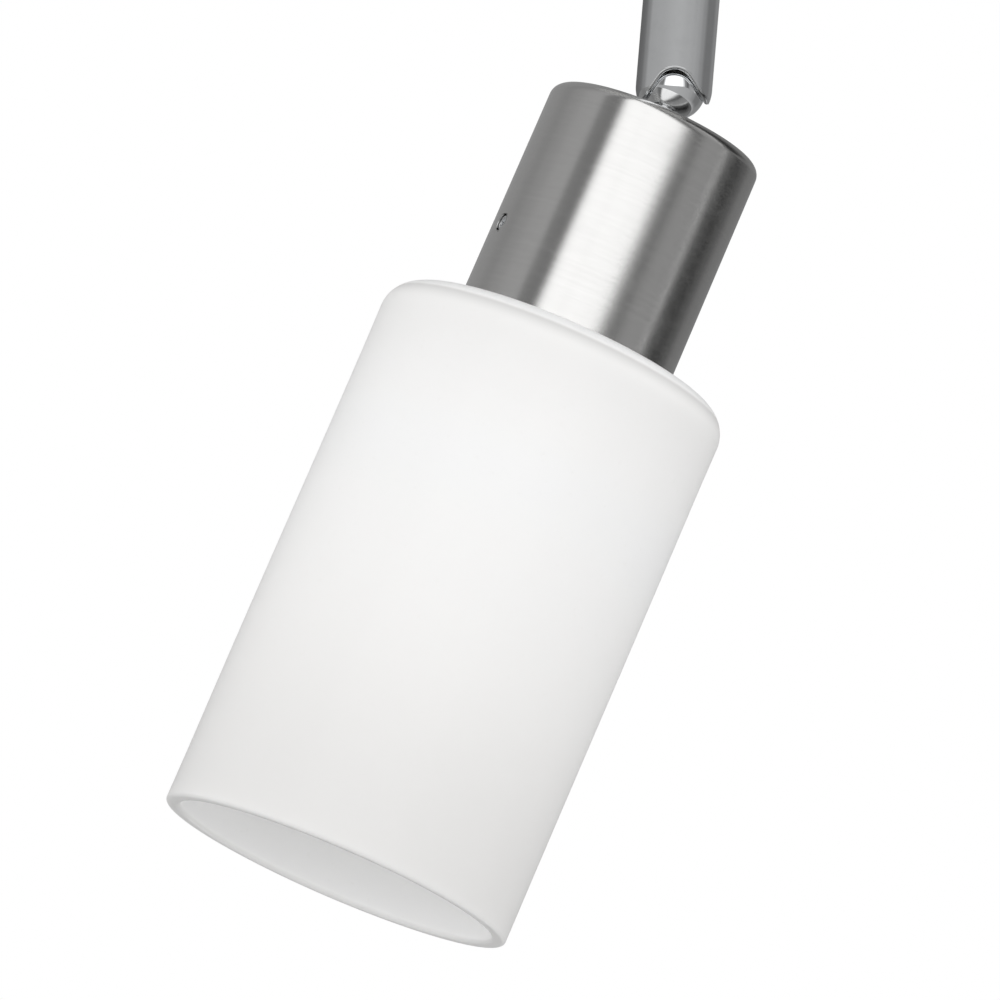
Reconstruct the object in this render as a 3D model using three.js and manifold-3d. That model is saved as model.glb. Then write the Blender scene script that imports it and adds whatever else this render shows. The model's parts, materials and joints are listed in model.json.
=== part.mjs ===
// Track lighting fixture: a track adapter, a swivelling arm, a slotted ball joint and a glass head.
// Millimetres, +Z up. The origin is the middle of the adapter's top face, which sits against the track.
// The head points down and leans to -X, with the joint's slot facing -Y.
import * as THREE from 'three';
import { mergeVertices } from 'three/addons/utils/BufferGeometryUtils.js';
import Module from 'manifold-3d';

const wasm = await Module();
wasm.setup();

// Driving sizes.
const gap = 0.3;                 // between pieces that meet
const runGap = 0.1;              // radial, where one piece turns on another

const adapterLength = 100;
const adapterWidth = 34;
const adapterHeight = 20;
const adapterWall = 2.4;
const coverThick = 2.4;

const armRadius = 6.3;
const armWall = 0.9;
const armLength = 80;            // adapter cover to ball centre

const ballGap = 0.3;
const stemRadius = 2.6;
const slotSpread = 30;           // degrees the head may lean each way in the slot
const headLean = 18.63;          // degrees, stored pose
const headTilt = 10;             // degrees, stored pose

const cupClearance = 0.8;        // between the arm's dome and the cup's top
const cupTopRadius = 18.4;
const cupFlare = 0.15;
const cupHeight = 40.1;
const cupWall = 1;
const cupCorner = 2;
const grubOffset = 1.6;          // grub screws below the middle of the carrier

const shadeRadius = 30;
const shadeLength = 94.5;
const shadeWall = 2.5;
const shadeShoulder = 5.3;
const shadeLip = 0.6;            // rounding of the cut rim

const skirtRadius = 13.2;        // threaded outside of the lampholder
const capRadius = 6.8;           // small screw cap of the bulb
const globeClearance = 5;        // between the bulb's globe and the glass
const bulbNeck = 17;             // length of the bulb's housing below its cap

const roundSides = 40;
const pipeSides = 32;
const smallSides = 16;
const wireSides = 8;

const white = { color: 0xf4f4f0, roughness: 0.5, metalness: 0 };
const opal = { color: 0xf7f8f7, roughness: 0.35, metalness: 0 };
const chrome = { color: 0xd9dbdc, roughness: 0.06, metalness: 1 };
const nickel = { color: 0xb9b5ae, roughness: 0.3, metalness: 1 };
const steel = { color: 0x9da0a3, roughness: 0.35, metalness: 1 };
const brass = { color: 0xc8a24c, roughness: 0.3, metalness: 1 };
const adapterPlastic = { color: 0xc9c9c7, roughness: 0.45, metalness: 0 };
const darkPlastic = { color: 0x2b2b2d, roughness: 0.5, metalness: 0 };
const nylon = { color: 0xe6e2d6, roughness: 0.55, metalness: 0 };
const rubber = { color: 0x3a3a3a, roughness: 0.8, metalness: 0 };

const degrees = Math.PI / 180;
const fixture = new THREE.Group();
fixture.name = 'track_lighting_fixture';

// Shape helpers.

// Welds a closed surface, drops faces with no area and turns every face outward.
function closed(source) {
  const open = source.index ? source.clone() : mergeVertices(source);
  for (const key of Object.keys(open.attributes)) {
    if (key !== 'position') open.deleteAttribute(key);
  }
  const welded = mergeVertices(open, 1e-4);
  const at = welded.attributes.position;
  const kept = [];
  const a = new THREE.Vector3();
  const b = new THREE.Vector3();
  const c = new THREE.Vector3();
  let volume = 0;
  for (let i = 0; i < welded.index.count; i += 3) {
    const corners = [0, 1, 2].map((k) => welded.index.getX(i + k));
    if (new Set(corners).size < 3) continue;
    kept.push(...corners);
    a.fromBufferAttribute(at, corners[0]);
    b.fromBufferAttribute(at, corners[1]);
    c.fromBufferAttribute(at, corners[2]);
    volume += a.dot(b.cross(c));
  }
  if (volume < 0) kept.reverse();
  const result = new THREE.BufferGeometry();
  result.setAttribute('position', at);
  result.setIndex(kept);
  return result;
}

function toSolid(source) {
  const shape = closed(source);
  return new wasm.Manifold(new wasm.Mesh({
    numProp: 3,
    vertProperties: Float32Array.from(shape.attributes.position.array),
    triVerts: Uint32Array.from(shape.index.array),
  }));
}

function toGeometry(solid) {
  const mesh = solid.getMesh();
  const result = new THREE.BufferGeometry();
  result.setAttribute('position', new THREE.BufferAttribute(Float32Array.from(mesh.vertProperties), 3));
  result.setIndex(Array.from(mesh.triVerts));
  return result;
}

function cut(base, ...tools) {
  return toGeometry(tools.reduce((solid, tool) => solid.subtract(toSolid(tool)), toSolid(base)));
}

function join(base, ...others) {
  return toGeometry(others.reduce((solid, other) => solid.add(toSolid(other)), toSolid(base)));
}

function add(parent, name, shape, finish) {
  const geometry = closed(shape);
  geometry.computeVertexNormals();
  const mesh = new THREE.Mesh(geometry, new THREE.MeshStandardMaterial(finish));
  mesh.name = name;
  parent.add(mesh);
  return mesh;
}

// Turns a profile of [radius, height] points about Z.
function turned(profile, sides) {
  const points = profile.map(([r, z]) => new THREE.Vector2(r, z));
  return new THREE.LatheGeometry(points, sides).rotateX(Math.PI / 2);
}

// The same, for a profile that closes on itself away from the axis.
function turnedRing(profile, sides) {
  return turned([...profile, profile[0]], sides);
}

function ring(inner, outer, low, high, sides) {
  return turnedRing([[inner, low], [outer, low], [outer, high], [inner, high]], sides);
}

function rod(radius, low, high, sides) {
  return turned([[0, low], [radius, low], [radius, high], [0, high]], sides);
}

function block(low, high) {
  const size = high.map((value, i) => value - low[i]);
  const middle = high.map((value, i) => (value + low[i]) / 2);
  return new THREE.BoxGeometry(...size).translate(...middle);
}

// Points of an arc in a profile: centre, radius and two angles in degrees.
function arc(cx, cy, radius, from, to, steps) {
  const points = [];
  for (let i = 0; i <= steps; i += 1) {
    const angle = (from + ((to - from) * i) / steps) * degrees;
    points.push([cx + radius * Math.cos(angle), cy + radius * Math.sin(angle)]);
  }
  return points;
}

function prism(outline, low, high) {
  const shape = new THREE.Shape(outline.map(([x, y]) => new THREE.Vector2(x, y)));
  return new THREE.ExtrudeGeometry(shape, { depth: high - low, bevelEnabled: false }).translate(0, 0, low);
}

function roundedPlate(length, width, corner, low, high) {
  const x = length / 2 - corner;
  const y = width / 2 - corner;
  return prism([
    ...arc(x, y, corner, 0, 90, 5),
    ...arc(-x, y, corner, 90, 180, 5),
    ...arc(-x, -y, corner, 180, 270, 5),
    ...arc(x, -y, corner, 270, 360, 5),
  ], low, high);
}

function hexagon(acrossFlats, low, high) {
  const corner = acrossFlats / 2 / Math.cos(30 * degrees);
  return prism(arc(0, 0, corner, 0, 300, 5), low, high);
}

function roundShape(radius, sides) {
  const outline = arc(0, 0, radius, 0, 360 - 360 / sides, sides - 1);
  return new THREE.Shape(outline.map(([x, y]) => new THREE.Vector2(x, y)));
}

function wire(points, radius) {
  const path = new THREE.CatmullRomCurve3(points.map((p) => new THREE.Vector3(...p)));
  const steps = 4 * (points.length - 1);
  return new THREE.ExtrudeGeometry(roundShape(radius, wireSides), { steps, extrudePath: path });
}

// Heights down the fixture.
const seatZ = 0;
const housingBottom = seatZ - adapterHeight;
const coverTop = housingBottom - gap;
const coverBottom = coverTop - coverThick;
const ballZ = coverBottom - armLength;

// Track adapter: housing, cover and terminals.
const adapterCorner = 4;
const postRadius = 3.2;
const screwX = adapterLength / 2 - adapterWall - postRadius - 0.9;
const turretNeck = 8;
const turretFlange = turretNeck + 2;
const turretX = screwX - postRadius - gap - turretFlange;
const tongueX = -turretX;
const earthFoot = 6.5;
const earthX = turretX - turretFlange - gap - earthFoot;
const earthHalf = 2.5;
const insideTop = seatZ - adapterWall;
const tongue = { length: 20, width: 9, corner: 2, height: 6.5 };   // locating rib that enters the track
const coverScrew = { thread: 1.4, head: 2.7, sink: 1.4, reach: 10.5 };
const slotHalfWidth = 0.3;       // of a screwdriver slot

// A screwdriver slot across a head, cut up from below.
function screwSlot(half, low, depth) {
  return block([-half, -slotHalfWidth, low - 1], [half, slotHalfWidth, low + depth]);
}

function adapterHousing() {
  const shell = cut(
    roundedPlate(adapterLength, adapterWidth, adapterCorner, housingBottom, seatZ),
    roundedPlate(
      adapterLength - 2 * adapterWall, adapterWidth - 2 * adapterWall, adapterCorner - adapterWall,
      housingBottom - 1, insideTop,
    ),
  );
  const posts = [-screwX, screwX].map(
    (x) => rod(postRadius, housingBottom, insideTop + 1, smallSides).translate(x, 0, 0),
  );
  const rib = roundedPlate(tongue.length, tongue.width, tongue.corner, seatZ - 1, seatZ + tongue.height);
  const drillTop = housingBottom + coverScrew.reach + 1.5;
  const holes = [-screwX, screwX].map(
    (x) => rod(coverScrew.thread + gap, housingBottom - 1, drillTop, smallSides).translate(x, 0, 0),
  );
  return cut(
    join(shell, ...posts, rib.translate(tongueX, 0, 0)),
    ...holes,
    rod(turretNeck + gap, insideTop - 1, seatZ + 1, smallSides).translate(turretX, 0, 0),
    block(
      [earthX - gap, -earthHalf - gap, insideTop - 1],
      [earthX + 0.8 + gap, earthHalf + gap, seatZ + 1],
    ),
  );
}

const bushBore = armRadius + runGap;
const bushNeck = bushBore + 1.6;
const bushNutHalf = bushNeck + 1.7;
const pegRadius = 1.1;
const stopRadius = bushNutHalf + gap + pegRadius;
const bushNutThick = 2.4;
const bushNutBottom = coverTop + gap;
const bushTop = bushNutBottom + bushNutThick + gap;
const washerBottom = bushTop + gap;
const washerThick = 1;
const stopBottom = washerBottom + washerThick + gap;
const stopTop = stopBottom + 1.2;
const armNutBottom = stopTop + gap;
const armNutTop = armNutBottom + 3;
const armTop = armNutTop + 1;
const knobShaft = 5;
const leadSpread = 1.1;
const leadRadius = 0.75;

function adapterCover() {
  const plate = roundedPlate(adapterLength, adapterWidth, adapterCorner, coverBottom, coverTop);
  const peg = rod(pegRadius, coverTop - 1, stopTop, smallSides).translate(-stopRadius, 0, 0);
  const screws = [-screwX, screwX].flatMap((x) => [
    rod(coverScrew.thread + gap, coverBottom - 1, coverTop + 1, smallSides).translate(x, 0, 0),
    rod(coverScrew.head + gap, coverBottom - 1, coverBottom + coverScrew.sink, smallSides).translate(x, 0, 0),
  ]);
  return cut(
    join(plate, peg),
    rod(bushNeck + gap, coverBottom - 1, coverTop + 1, pipeSides),
    rod(knobShaft + gap, coverBottom - 1, coverTop + 1, smallSides).translate(turretX, 0, 0),
    ...screws,
  );
}

function coverScrewBody(x) {
  const { thread, head: headRadius } = coverScrew;
  const low = coverBottom + 0.2;
  const headTop = coverBottom + coverScrew.sink - gap;
  const tip = housingBottom + coverScrew.reach;
  const body = turned([
    [0, low], [headRadius - 0.5, low], [headRadius, low + 0.4], [headRadius, headTop],
    [thread, headTop], [thread, tip], [0, tip + 1],
  ], smallSides);
  return cut(body, screwSlot(2, low, 0.5)).translate(x, 0, 0);
}

const bushCollar = { rim: 3.5, height: 4, round: 1.2 };

function swivelBush() {
  const { round } = bushCollar;
  const flange = bushNeck + bushCollar.rim;
  const low = coverBottom - gap - bushCollar.height;
  return turnedRing([
    [bushBore, low], [flange - round - 1, low], ...arc(flange - round, low + round, round, -60, 0, 3),
    [flange, coverBottom - gap], [bushNeck, coverBottom - gap], [bushNeck, bushTop], [bushBore, bushTop],
  ], pipeSides);
}

const blockX = -(screwX - postRadius + stopRadius + pegRadius) / 2;
const blockHigh = insideTop - 1.4;
const terminals = {
  half: 8, side: 7, height: 9, spread: 3.5, wire: 1.4, wireDrop: 6, screw: 1.8, screwDrop: 3.6,
};

function terminalBlock() {
  const { half, side, height, spread, wire: wireRadius, wireDrop, screw, screwDrop } = terminals;
  const body = block([blockX - half, -side, blockHigh - height], [blockX + half, side, blockHigh]);
  const wells = [-spread, spread].flatMap((y) => [
    rod(screw + gap, blockHigh - height - 1, blockHigh - screwDrop + 0.6, smallSides).translate(blockX, y, 0),
    rod(wireRadius, -half - 2, half + 2, smallSides).rotateY(Math.PI / 2)
      .translate(blockX, y, blockHigh - wireDrop),
  ]);
  return cut(body, ...wells);
}

function slottedScrew(radius, low, high) {
  return cut(rod(radius, low, high, smallSides), screwSlot(2 * radius, low, 0.7));
}

// A bent strip: a foot inside the housing and a springy nose that stands up out of it.
function earthClip() {
  const foot = insideTop - 4.6;
  const strip = 0.8;
  return prism([
    [earthX, foot], [earthX + earthFoot, foot], [earthX + earthFoot, foot + strip],
    [earthX + strip, foot + strip], [earthX + strip, seatZ + 2.4], [earthX + 2.4, seatZ + 4.2],
    [earthX + 1.8, seatZ + 4.8], [earthX, seatZ + 2.8],
  ], -earthHalf, earthHalf).rotateX(Math.PI / 2);
}

const adapter = new THREE.Group();
adapter.name = 'adapter';
fixture.add(adapter);
add(adapter, 'adapter_housing', adapterHousing(), adapterPlastic);
add(adapter, 'adapter_cover', adapterCover(), adapterPlastic);
add(adapter, 'cover_screw_left', coverScrewBody(-screwX), steel);
add(adapter, 'cover_screw_right', coverScrewBody(screwX), steel);
add(adapter, 'swivel_bush', swivelBush(), chrome);
add(adapter, 'bush_nut', cut(
  hexagon(2 * bushNutHalf, bushNutBottom, bushNutBottom + bushNutThick).rotateZ(30 * degrees),
  rod(bushNeck + runGap, bushNutBottom - 1, bushTop + 1, pipeSides),
), steel);
add(adapter, 'terminal_block', terminalBlock(), nylon);
for (const [name, side] of [['live', -1], ['neutral', 1]]) {
  const { screw: radius, height, screwDrop, spread } = terminals;
  const screw = slottedScrew(radius, blockHigh - height - 0.4, blockHigh - screwDrop);
  add(adapter, `block_screw_${name}`, screw.translate(blockX, side * spread, 0), steel);
}
add(adapter, 'earth_clip', earthClip(), brass);
for (const [name, side] of [['live', -1], ['neutral', 1]]) {
  const from = blockX + terminals.half + gap;
  const start = blockHigh - terminals.wireDrop;
  const to = -leadSpread - 2 * leadRadius - 2 * gap;
  const lead = wire([
    [from, side * terminals.spread, start], [from + 3, side * terminals.spread, start + 0.4],
    [to - 4, side * 1.4, armTop + 2.2], [to, side * 1.2, armTop + 2],
  ], leadRadius);
  add(adapter, `adapter_lead_${name}`, lead, name === 'live' ? darkPlastic : nylon);
}

// Turning lock that carries the two track contacts, shown locked across the track.
const barHalf = 11;
const barWidth = 8.6;
const contactHalf = 2.6;
const barLow = seatZ + 2.4;
const barHigh = seatZ + 8.6;
const barFoot = 1.2;             // floor left under each contact's pocket
const contactBite = 2;           // how far a contact sits in its pocket
const knobTop = coverBottom - gap;
const knobBottom = knobTop - 7;
const knobFloor = knobBottom + 2.4;
const knobBore = 3.6;
const knobRadius = 8.6;
const knobWing = { length: 23, width: 5, corner: 2.2 };
const knobScrewSize = { thread: 1.2, head: 2.4, sink: 1.2, length: 8 };

function lockTurret() {
  const shaft = turned([
    [0, knobFloor], [knobBore, knobFloor], [knobBore, knobTop], [knobShaft, knobTop],
    [knobShaft, coverTop + gap], [turretFlange, coverTop + gap], [turretFlange, insideTop - gap],
    [turretNeck, insideTop - gap], [turretNeck, seatZ + 1.6], [4.2, seatZ + 1.6], [4.2, barHigh - 0.5],
    [0, barHigh - 0.5],
  ], smallSides);
  const bar = roundedPlate(barWidth, 2 * barHalf, 1.5, barLow, barHigh);
  const pockets = [-1, 1].map((side) => block(
    [-contactHalf - gap, Math.min(side * (barHalf - contactBite), side * 2 * barHalf), barLow + barFoot],
    [contactHalf + gap, Math.max(side * (barHalf - contactBite), side * 2 * barHalf), barHigh + 1],
  ));
  const { thread, length } = knobScrewSize;
  const hole = rod(thread + gap, knobBottom, knobBottom + length + 1, smallSides);
  return cut(join(shaft, bar), ...pockets, hole);
}

function trackContact(side) {
  const near = barHalf - contactBite + gap;
  const far = barHalf + 1.2;
  const low = barLow + barFoot + gap;
  const outline = [
    [near, low], [far - 0.8, low], [far, low + 1], [far, barHigh - 1], [far - 0.8, barHigh], [near, barHigh],
  ];
  return prism(outline, -contactHalf, contactHalf).rotateX(Math.PI / 2).rotateZ((side * Math.PI) / 2);
}

function lockKnob() {
  const disc = turned([
    [0, knobBottom], ...arc(knobRadius - 1, knobBottom + 1, 1, -90, 0, 3),
    [knobRadius, knobTop], [0, knobTop],
  ], pipeSides);
  const wing = roundedPlate(knobWing.width, knobWing.length, knobWing.corner, knobBottom, knobTop - 1.5);
  const { thread, head: headRadius, sink } = knobScrewSize;
  return cut(
    join(disc, wing),
    rod(knobBore + gap, knobFloor - gap, knobTop + 1, smallSides),
    rod(thread + gap, knobBottom - 1, knobTop, smallSides),
    rod(headRadius + gap, knobBottom - 1, knobBottom + sink, smallSides),
  );
}

function knobScrew() {
  const { thread, head: headRadius, sink, length } = knobScrewSize;
  const low = knobBottom + 0.1;
  const under = knobBottom + sink - gap;
  const tip = low + length;
  return cut(
    turned([
      [0, low], [headRadius, low], [headRadius, under], [thread, under], [thread, tip], [0, tip],
    ], smallSides),
    screwSlot(1.6, low, 0.5),
  );
}

const lock = new THREE.Group();
lock.name = 'lock';
lock.position.set(turretX, 0, 0);
fixture.add(lock);
add(lock, 'lock_turret', lockTurret(), darkPlastic);
add(lock, 'contact_live', trackContact(1), brass);
add(lock, 'contact_neutral', trackContact(-1), brass);
add(lock, 'lock_knob', lockKnob(), adapterPlastic);
add(lock, 'knob_screw', knobScrew(), steel);

// Arm: a tube whose domed lower end is slotted for the ball's stem.
const armBore = armRadius - armWall;
const ballRadius = armBore - ballGap;
const slotHalf = stemRadius + gap;
const plungerLow = ballRadius + 2.1;
const plungerTop = ballRadius + 6;
const springLow = plungerTop + gap;
const springHigh = springLow + 10;
const plugLow = springHigh + gap;

// The slot seen from the front: a round end over the ball's centre that opens into a fan below.
function slotTool() {
  const reach = 3 * armRadius;
  const side = slotSpread * degrees;
  const foot = (sign) => [
    sign * (slotHalf * Math.cos(side) + reach * Math.sin(side)),
    slotHalf * Math.sin(side) - reach * Math.cos(side),
  ];
  const outline = [...arc(0, 0, slotHalf, slotSpread, 180 - slotSpread, 12), foot(-1), foot(1)];
  return prism(outline, -slotHalf, 2 * armRadius).rotateX(Math.PI / 2).translate(0, 0, ballZ);
}

function armTube() {
  const outside = turned([
    ...arc(0, ballZ, armRadius, -90, 0, 12),
    [armRadius, armTop - 0.4], [armRadius - 0.4, armTop], [0, armTop],
  ], pipeSides);
  const inside = turned([
    ...arc(0, ballZ, armBore, -90, 0, 12), [armBore, armTop + 1], [0, armTop + 1],
  ], pipeSides);
  return cut(outside, inside, slotTool());
}

function stopRing() {
  const tab = block([armRadius + 1.5, -1.5, stopBottom], [stopRadius + 0.4, 1.5, stopTop]);
  return join(ring(armRadius + runGap, armRadius + 2.8, stopBottom, stopTop, pipeSides), tab);
}

// Presses the seat on the ball: a hollow underside on the ball's centre.
function seatPlunger() {
  const outer = armBore - gap;
  const edge = Math.acos(outer / plungerLow) / degrees;
  const hole = Math.acos(1.4 / plungerLow) / degrees;
  return turnedRing([
    ...arc(0, 0, plungerLow, hole, edge, 6), [outer, plungerTop], [1.4, plungerTop],
  ], smallSides).translate(0, 0, ballZ);
}

function coil(radius, wireRadius, turns, low, high) {
  const points = [];
  const steps = turns * 8;
  const rise = high - low - 2 * wireRadius;
  for (let i = 0; i <= steps; i += 1) {
    const angle = (i / steps) * turns * 2 * Math.PI;
    const z = low + wireRadius + (rise * i) / steps;
    points.push(new THREE.Vector3(radius * Math.cos(angle), radius * Math.sin(angle), z));
  }
  const path = new THREE.CatmullRomCurve3(points);
  return new THREE.ExtrudeGeometry(roundShape(wireRadius, 6), { steps, extrudePath: path });
}

const arm = new THREE.Group();
arm.name = 'arm';
fixture.add(arm);
add(arm, 'arm_tube', armTube(), chrome);
add(arm, 'swivel_washer', ring(
  armRadius + gap, armRadius + 3.2, washerBottom, washerBottom + washerThick, smallSides,
), nylon);
add(arm, 'stop_ring', stopRing(), steel);
add(arm, 'arm_nut', cut(
  hexagon(2 * armRadius + 4.4, armNutBottom, armNutTop),
  rod(armRadius + runGap, armNutBottom - 1, armNutTop + 1, pipeSides),
), steel);
add(arm, 'seat_plunger', seatPlunger(), nylon);
add(arm, 'seat_spring', coil(armBore - 1.4, 0.5, 5, ballZ + springLow, ballZ + springHigh), steel);
add(arm, 'spring_plug', ring(2.2, armBore - gap, ballZ + plugLow, ballZ + plugLow + 4, smallSides), brass);
for (const [name, x] of [['live', -leadSpread], ['neutral', leadSpread]]) {
  const lead = wire([
    [x, 0, ballZ + springLow + 1], [x, 0, (armTop + ballZ) / 2], [x, 0, armTop + 2.5],
  ], leadRadius);
  add(arm, `arm_lead_${name}`, lead, name === 'live' ? darkPlastic : nylon);
}

// Seat that beds on the ball and follows it as the head leans.
const seat = new THREE.Group();
seat.name = 'seat';
seat.position.set(0, 0, ballZ);
seat.rotation.set(0, headLean * degrees, 0);
fixture.add(seat);
add(seat, 'ball_seat', turnedRing([
  ...arc(0, 0, ballRadius + 0.25, 79, 71, 3), ...arc(0, 0, plungerLow - 0.2, 73, 81, 3),
], smallSides), nylon);

// Everything below turns about the ball: heights are measured down the head's axis from its centre.
const head = new THREE.Group();
head.name = 'head';
head.position.set(0, 0, ballZ);
head.rotation.set(-headTilt * degrees, headLean * degrees, 0, 'YXZ');
fixture.add(head);

const down = (profile) => profile.map(([r, s]) => [r, -s]);
const cupDrop = armRadius + cupClearance;
const cupRimRadius = cupTopRadius + cupFlare;
const nippleRadius = 1.95;
const leadHole = 1.2;
const cupInside = cupDrop + cupWall;
const nutLow = cupInside + gap + washerThick + gap;
const nutHigh = nutLow + 3;
const nippleEnd = nutHigh + 1.6;

function ballStem() {
  const neck = Math.asin(stemRadius / ballRadius) / degrees - 90;
  const top = Math.acos(leadHole / ballRadius) / degrees;
  return turnedRing([
    [leadHole, -nippleEnd], [nippleRadius, -nippleEnd], [nippleRadius, -(cupDrop - runGap)],
    [stemRadius, -(cupDrop - runGap)], ...arc(0, 0, ballRadius, neck, top, 12),
  ], smallSides + 8);
}

add(head, 'ball_stem', ballStem(), chrome);
add(head, 'stem_nut', cut(
  hexagon(8, -nutHigh, -nutLow),
  rod(nippleRadius + runGap, -nutHigh - 1, -nutLow + 1, smallSides),
), steel);
add(head, 'spin_washer', ring(nippleRadius + gap, 5.5, -nutLow + gap, -cupInside - gap, smallSides), nylon);

// Cup, with two grub screws that hold the lampholder's carrier.
const cupRim = cupDrop + cupHeight;
const shadeTop = cupRim + gap;
const grubAngles = { left: 201, right: 21 };
const grubRadius = 1.3;
const carrierRadius = cupTopRadius - cupWall - 0.5;
const carrierHeight = 15.6;
const flangeHigh = shadeTop - 1.5;
const flangeLow = flangeHigh - 1.4;
const flangeRadius = carrierRadius - 0.4;
const carrierHigh = flangeLow - 5;
const carrierLow = carrierHigh - carrierHeight;
const grubDrop = (carrierLow + carrierHigh) / 2 + grubOffset;
const bodyTop = carrierHigh - 8.6;
const boreTop = bodyTop + 5;
const skirtEnd = shadeTop + 18.5;
const holderBore = capRadius + 1.2;
const bodyRadius = holderBore + 0.7;
const terminalScrewSize = { thread: 1.1, head: 2.1, headHeight: 2, length: 3.3, spread: 4.5 };

// A rod that lies square to the axis, at an angle about it and a drop down it.
function radialRod(radius, from, to, angle, drop) {
  const lying = rod(radius, from, to, smallSides).rotateY(Math.PI / 2);
  return lying.rotateZ(angle * degrees).translate(0, 0, -drop);
}

function headCup() {
  const top = cupTopRadius - cupCorner;
  const inner = cupTopRadius - cupWall;
  const outline = [
    [nippleRadius + 0.3, -cupDrop],
    ...arc(top, -cupDrop - cupCorner, cupCorner, 90, 0, 5),
    [cupRimRadius, -cupRim + 0.3], [cupRimRadius - 0.3, -cupRim], [cupRimRadius - cupWall, -cupRim],
    ...arc(inner - 1, -cupInside - 1, 1, 0, 90, 3),
    [nippleRadius + 0.3, -cupInside],
  ];
  const holes = Object.values(grubAngles).map(
    (angle) => radialRod(grubRadius + gap, inner - 2, cupRimRadius + 2, angle, grubDrop),
  );
  return cut(turnedRing(outline, roundSides), ...holes);
}

function holderCarrier() {
  const sockets = Object.values(grubAngles).map(
    (angle) => radialRod(grubRadius + gap, carrierRadius - 4, carrierRadius + 2, angle, grubDrop),
  );
  return cut(turnedRing(down([
    [bodyRadius + gap, carrierLow], [carrierRadius - 1, carrierLow], [carrierRadius, carrierLow + 1],
    [carrierRadius, carrierHigh], [bodyRadius + gap, carrierHigh],
  ]), pipeSides), ...sockets);
}

function grubScrew(angle) {
  const outer = cupTopRadius - 0.2;
  return cut(
    radialRod(grubRadius, carrierRadius - 3.6, outer, angle, grubDrop),
    radialRod(0.65, outer - 1.2, outer + 1, angle, grubDrop),
  );
}

function holderBody() {
  const profile = down([
    [0, bodyTop], [bodyRadius, bodyTop], [bodyRadius, carrierHigh + gap], [skirtRadius, carrierHigh + gap],
    [skirtRadius, flangeLow], [flangeRadius, flangeLow], [flangeRadius, flangeHigh],
    [skirtRadius, flangeHigh], [skirtRadius, skirtEnd - 1], [skirtRadius - 1, skirtEnd],
    [holderBore, skirtEnd], [holderBore, boreTop], [0, boreTop],
  ]);
  const { thread, length, spread } = terminalScrewSize;
  const holes = [-spread, spread].map(
    (x) => rod(thread + gap, -bodyTop - length - 0.7, -bodyTop + 1, smallSides).translate(x, 0, 0),
  );
  return cut(turned(profile, pipeSides), ...holes);
}

function terminalScrew(x) {
  const { thread, head: headRadius, headHeight, length } = terminalScrewSize;
  const under = bodyTop - gap;
  const tip = under + length + gap;
  return cut(
    turned(down([
      [0, under - headHeight], [headRadius, under - headHeight], [headRadius, under], [thread, under],
      [thread, tip], [0, tip],
    ]), smallSides),
    block([-headRadius - 0.3, -slotHalfWidth, 1.2 - under], [headRadius + 0.3, slotHalfWidth, 3 - under]),
  ).translate(x, 0, 0);
}

const capTop = boreTop + 7.5;
const sleeveTop = capTop - 1.5;

function centreContact() {
  const s = boreTop;
  return prism([
    [-5, -s - 0.3], [5, -s - 0.3], [5, -s - 0.9], [1, -s - 0.9], [2.6, -s - 2.1], [2.2, -s - 2.6],
    [-1.8, -s - 1.4], [-5, -s - 0.9],
  ], -1.8, 1.8).rotateX(Math.PI / 2);
}

add(head, 'head_cup', headCup(), nickel);
for (const [side, angle] of Object.entries(grubAngles)) {
  add(head, `grub_screw_${side}`, grubScrew(angle), steel);
}
add(head, 'holder_carrier', holderCarrier(), white);
add(head, 'holder_body', holderBody(), white);
add(head, 'terminal_screw_live', terminalScrew(-terminalScrewSize.spread), brass);
add(head, 'terminal_screw_neutral', terminalScrew(terminalScrewSize.spread), brass);
add(head, 'centre_contact', centreContact(), brass);
add(head, 'side_contact', block(
  [holderBore - 1.3, -1.5, -sleeveTop + gap], [holderBore - gap, 1.5, -boreTop - 1],
), brass);
add(head, 'thread_sleeve', ring(
  capRadius + gap, holderBore - gap, -skirtEnd + 2, -sleeveTop, smallSides + 8,
), brass);
for (const [name, side] of [['live', -1], ['neutral', 1]]) {
  const high = -(nippleEnd + 0.4);
  const low = -(bodyTop - gap - terminalScrewSize.headHeight - 0.8);
  const far = terminalScrewSize.spread;
  const lead = wire([
    [side * 0.9, 0, high], [side * 1.1, 0, high - 2.5],
    [side * (far - 0.5), 0, low + 2.5], [side * far, 0, low],
  ], leadRadius - 0.05);
  add(head, `head_lead_${name}`, lead, name === 'live' ? darkPlastic : nylon);
}

// Glass shade, clamped between a gasket and a screwed ring.
function glassShade() {
  const rim = shadeTop + shadeLength;
  const inner = shadeRadius - shadeWall;
  const bend = shadeShoulder - shadeWall;
  const holeRadius = skirtRadius + 0.6;
  return turnedRing([
    [holeRadius, -shadeTop],
    ...arc(shadeRadius - shadeShoulder, -shadeTop - shadeShoulder, shadeShoulder, 90, 0, 7),
    ...arc(shadeRadius - shadeLip, -rim + shadeLip, shadeLip, 0, -90, 4),
    ...arc(inner + shadeLip, -rim + shadeLip, shadeLip, -90, -180, 4),
    ...arc(inner - bend, -shadeTop - shadeWall - bend, bend, 0, 90, 4),
    [holeRadius, -shadeTop - shadeWall],
  ], roundSides);
}

const ringTop = shadeTop + shadeWall + gap;
const shadeRing = { flange: 4.8, collar: 2.8, thick: 1.8, height: 6 };

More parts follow.
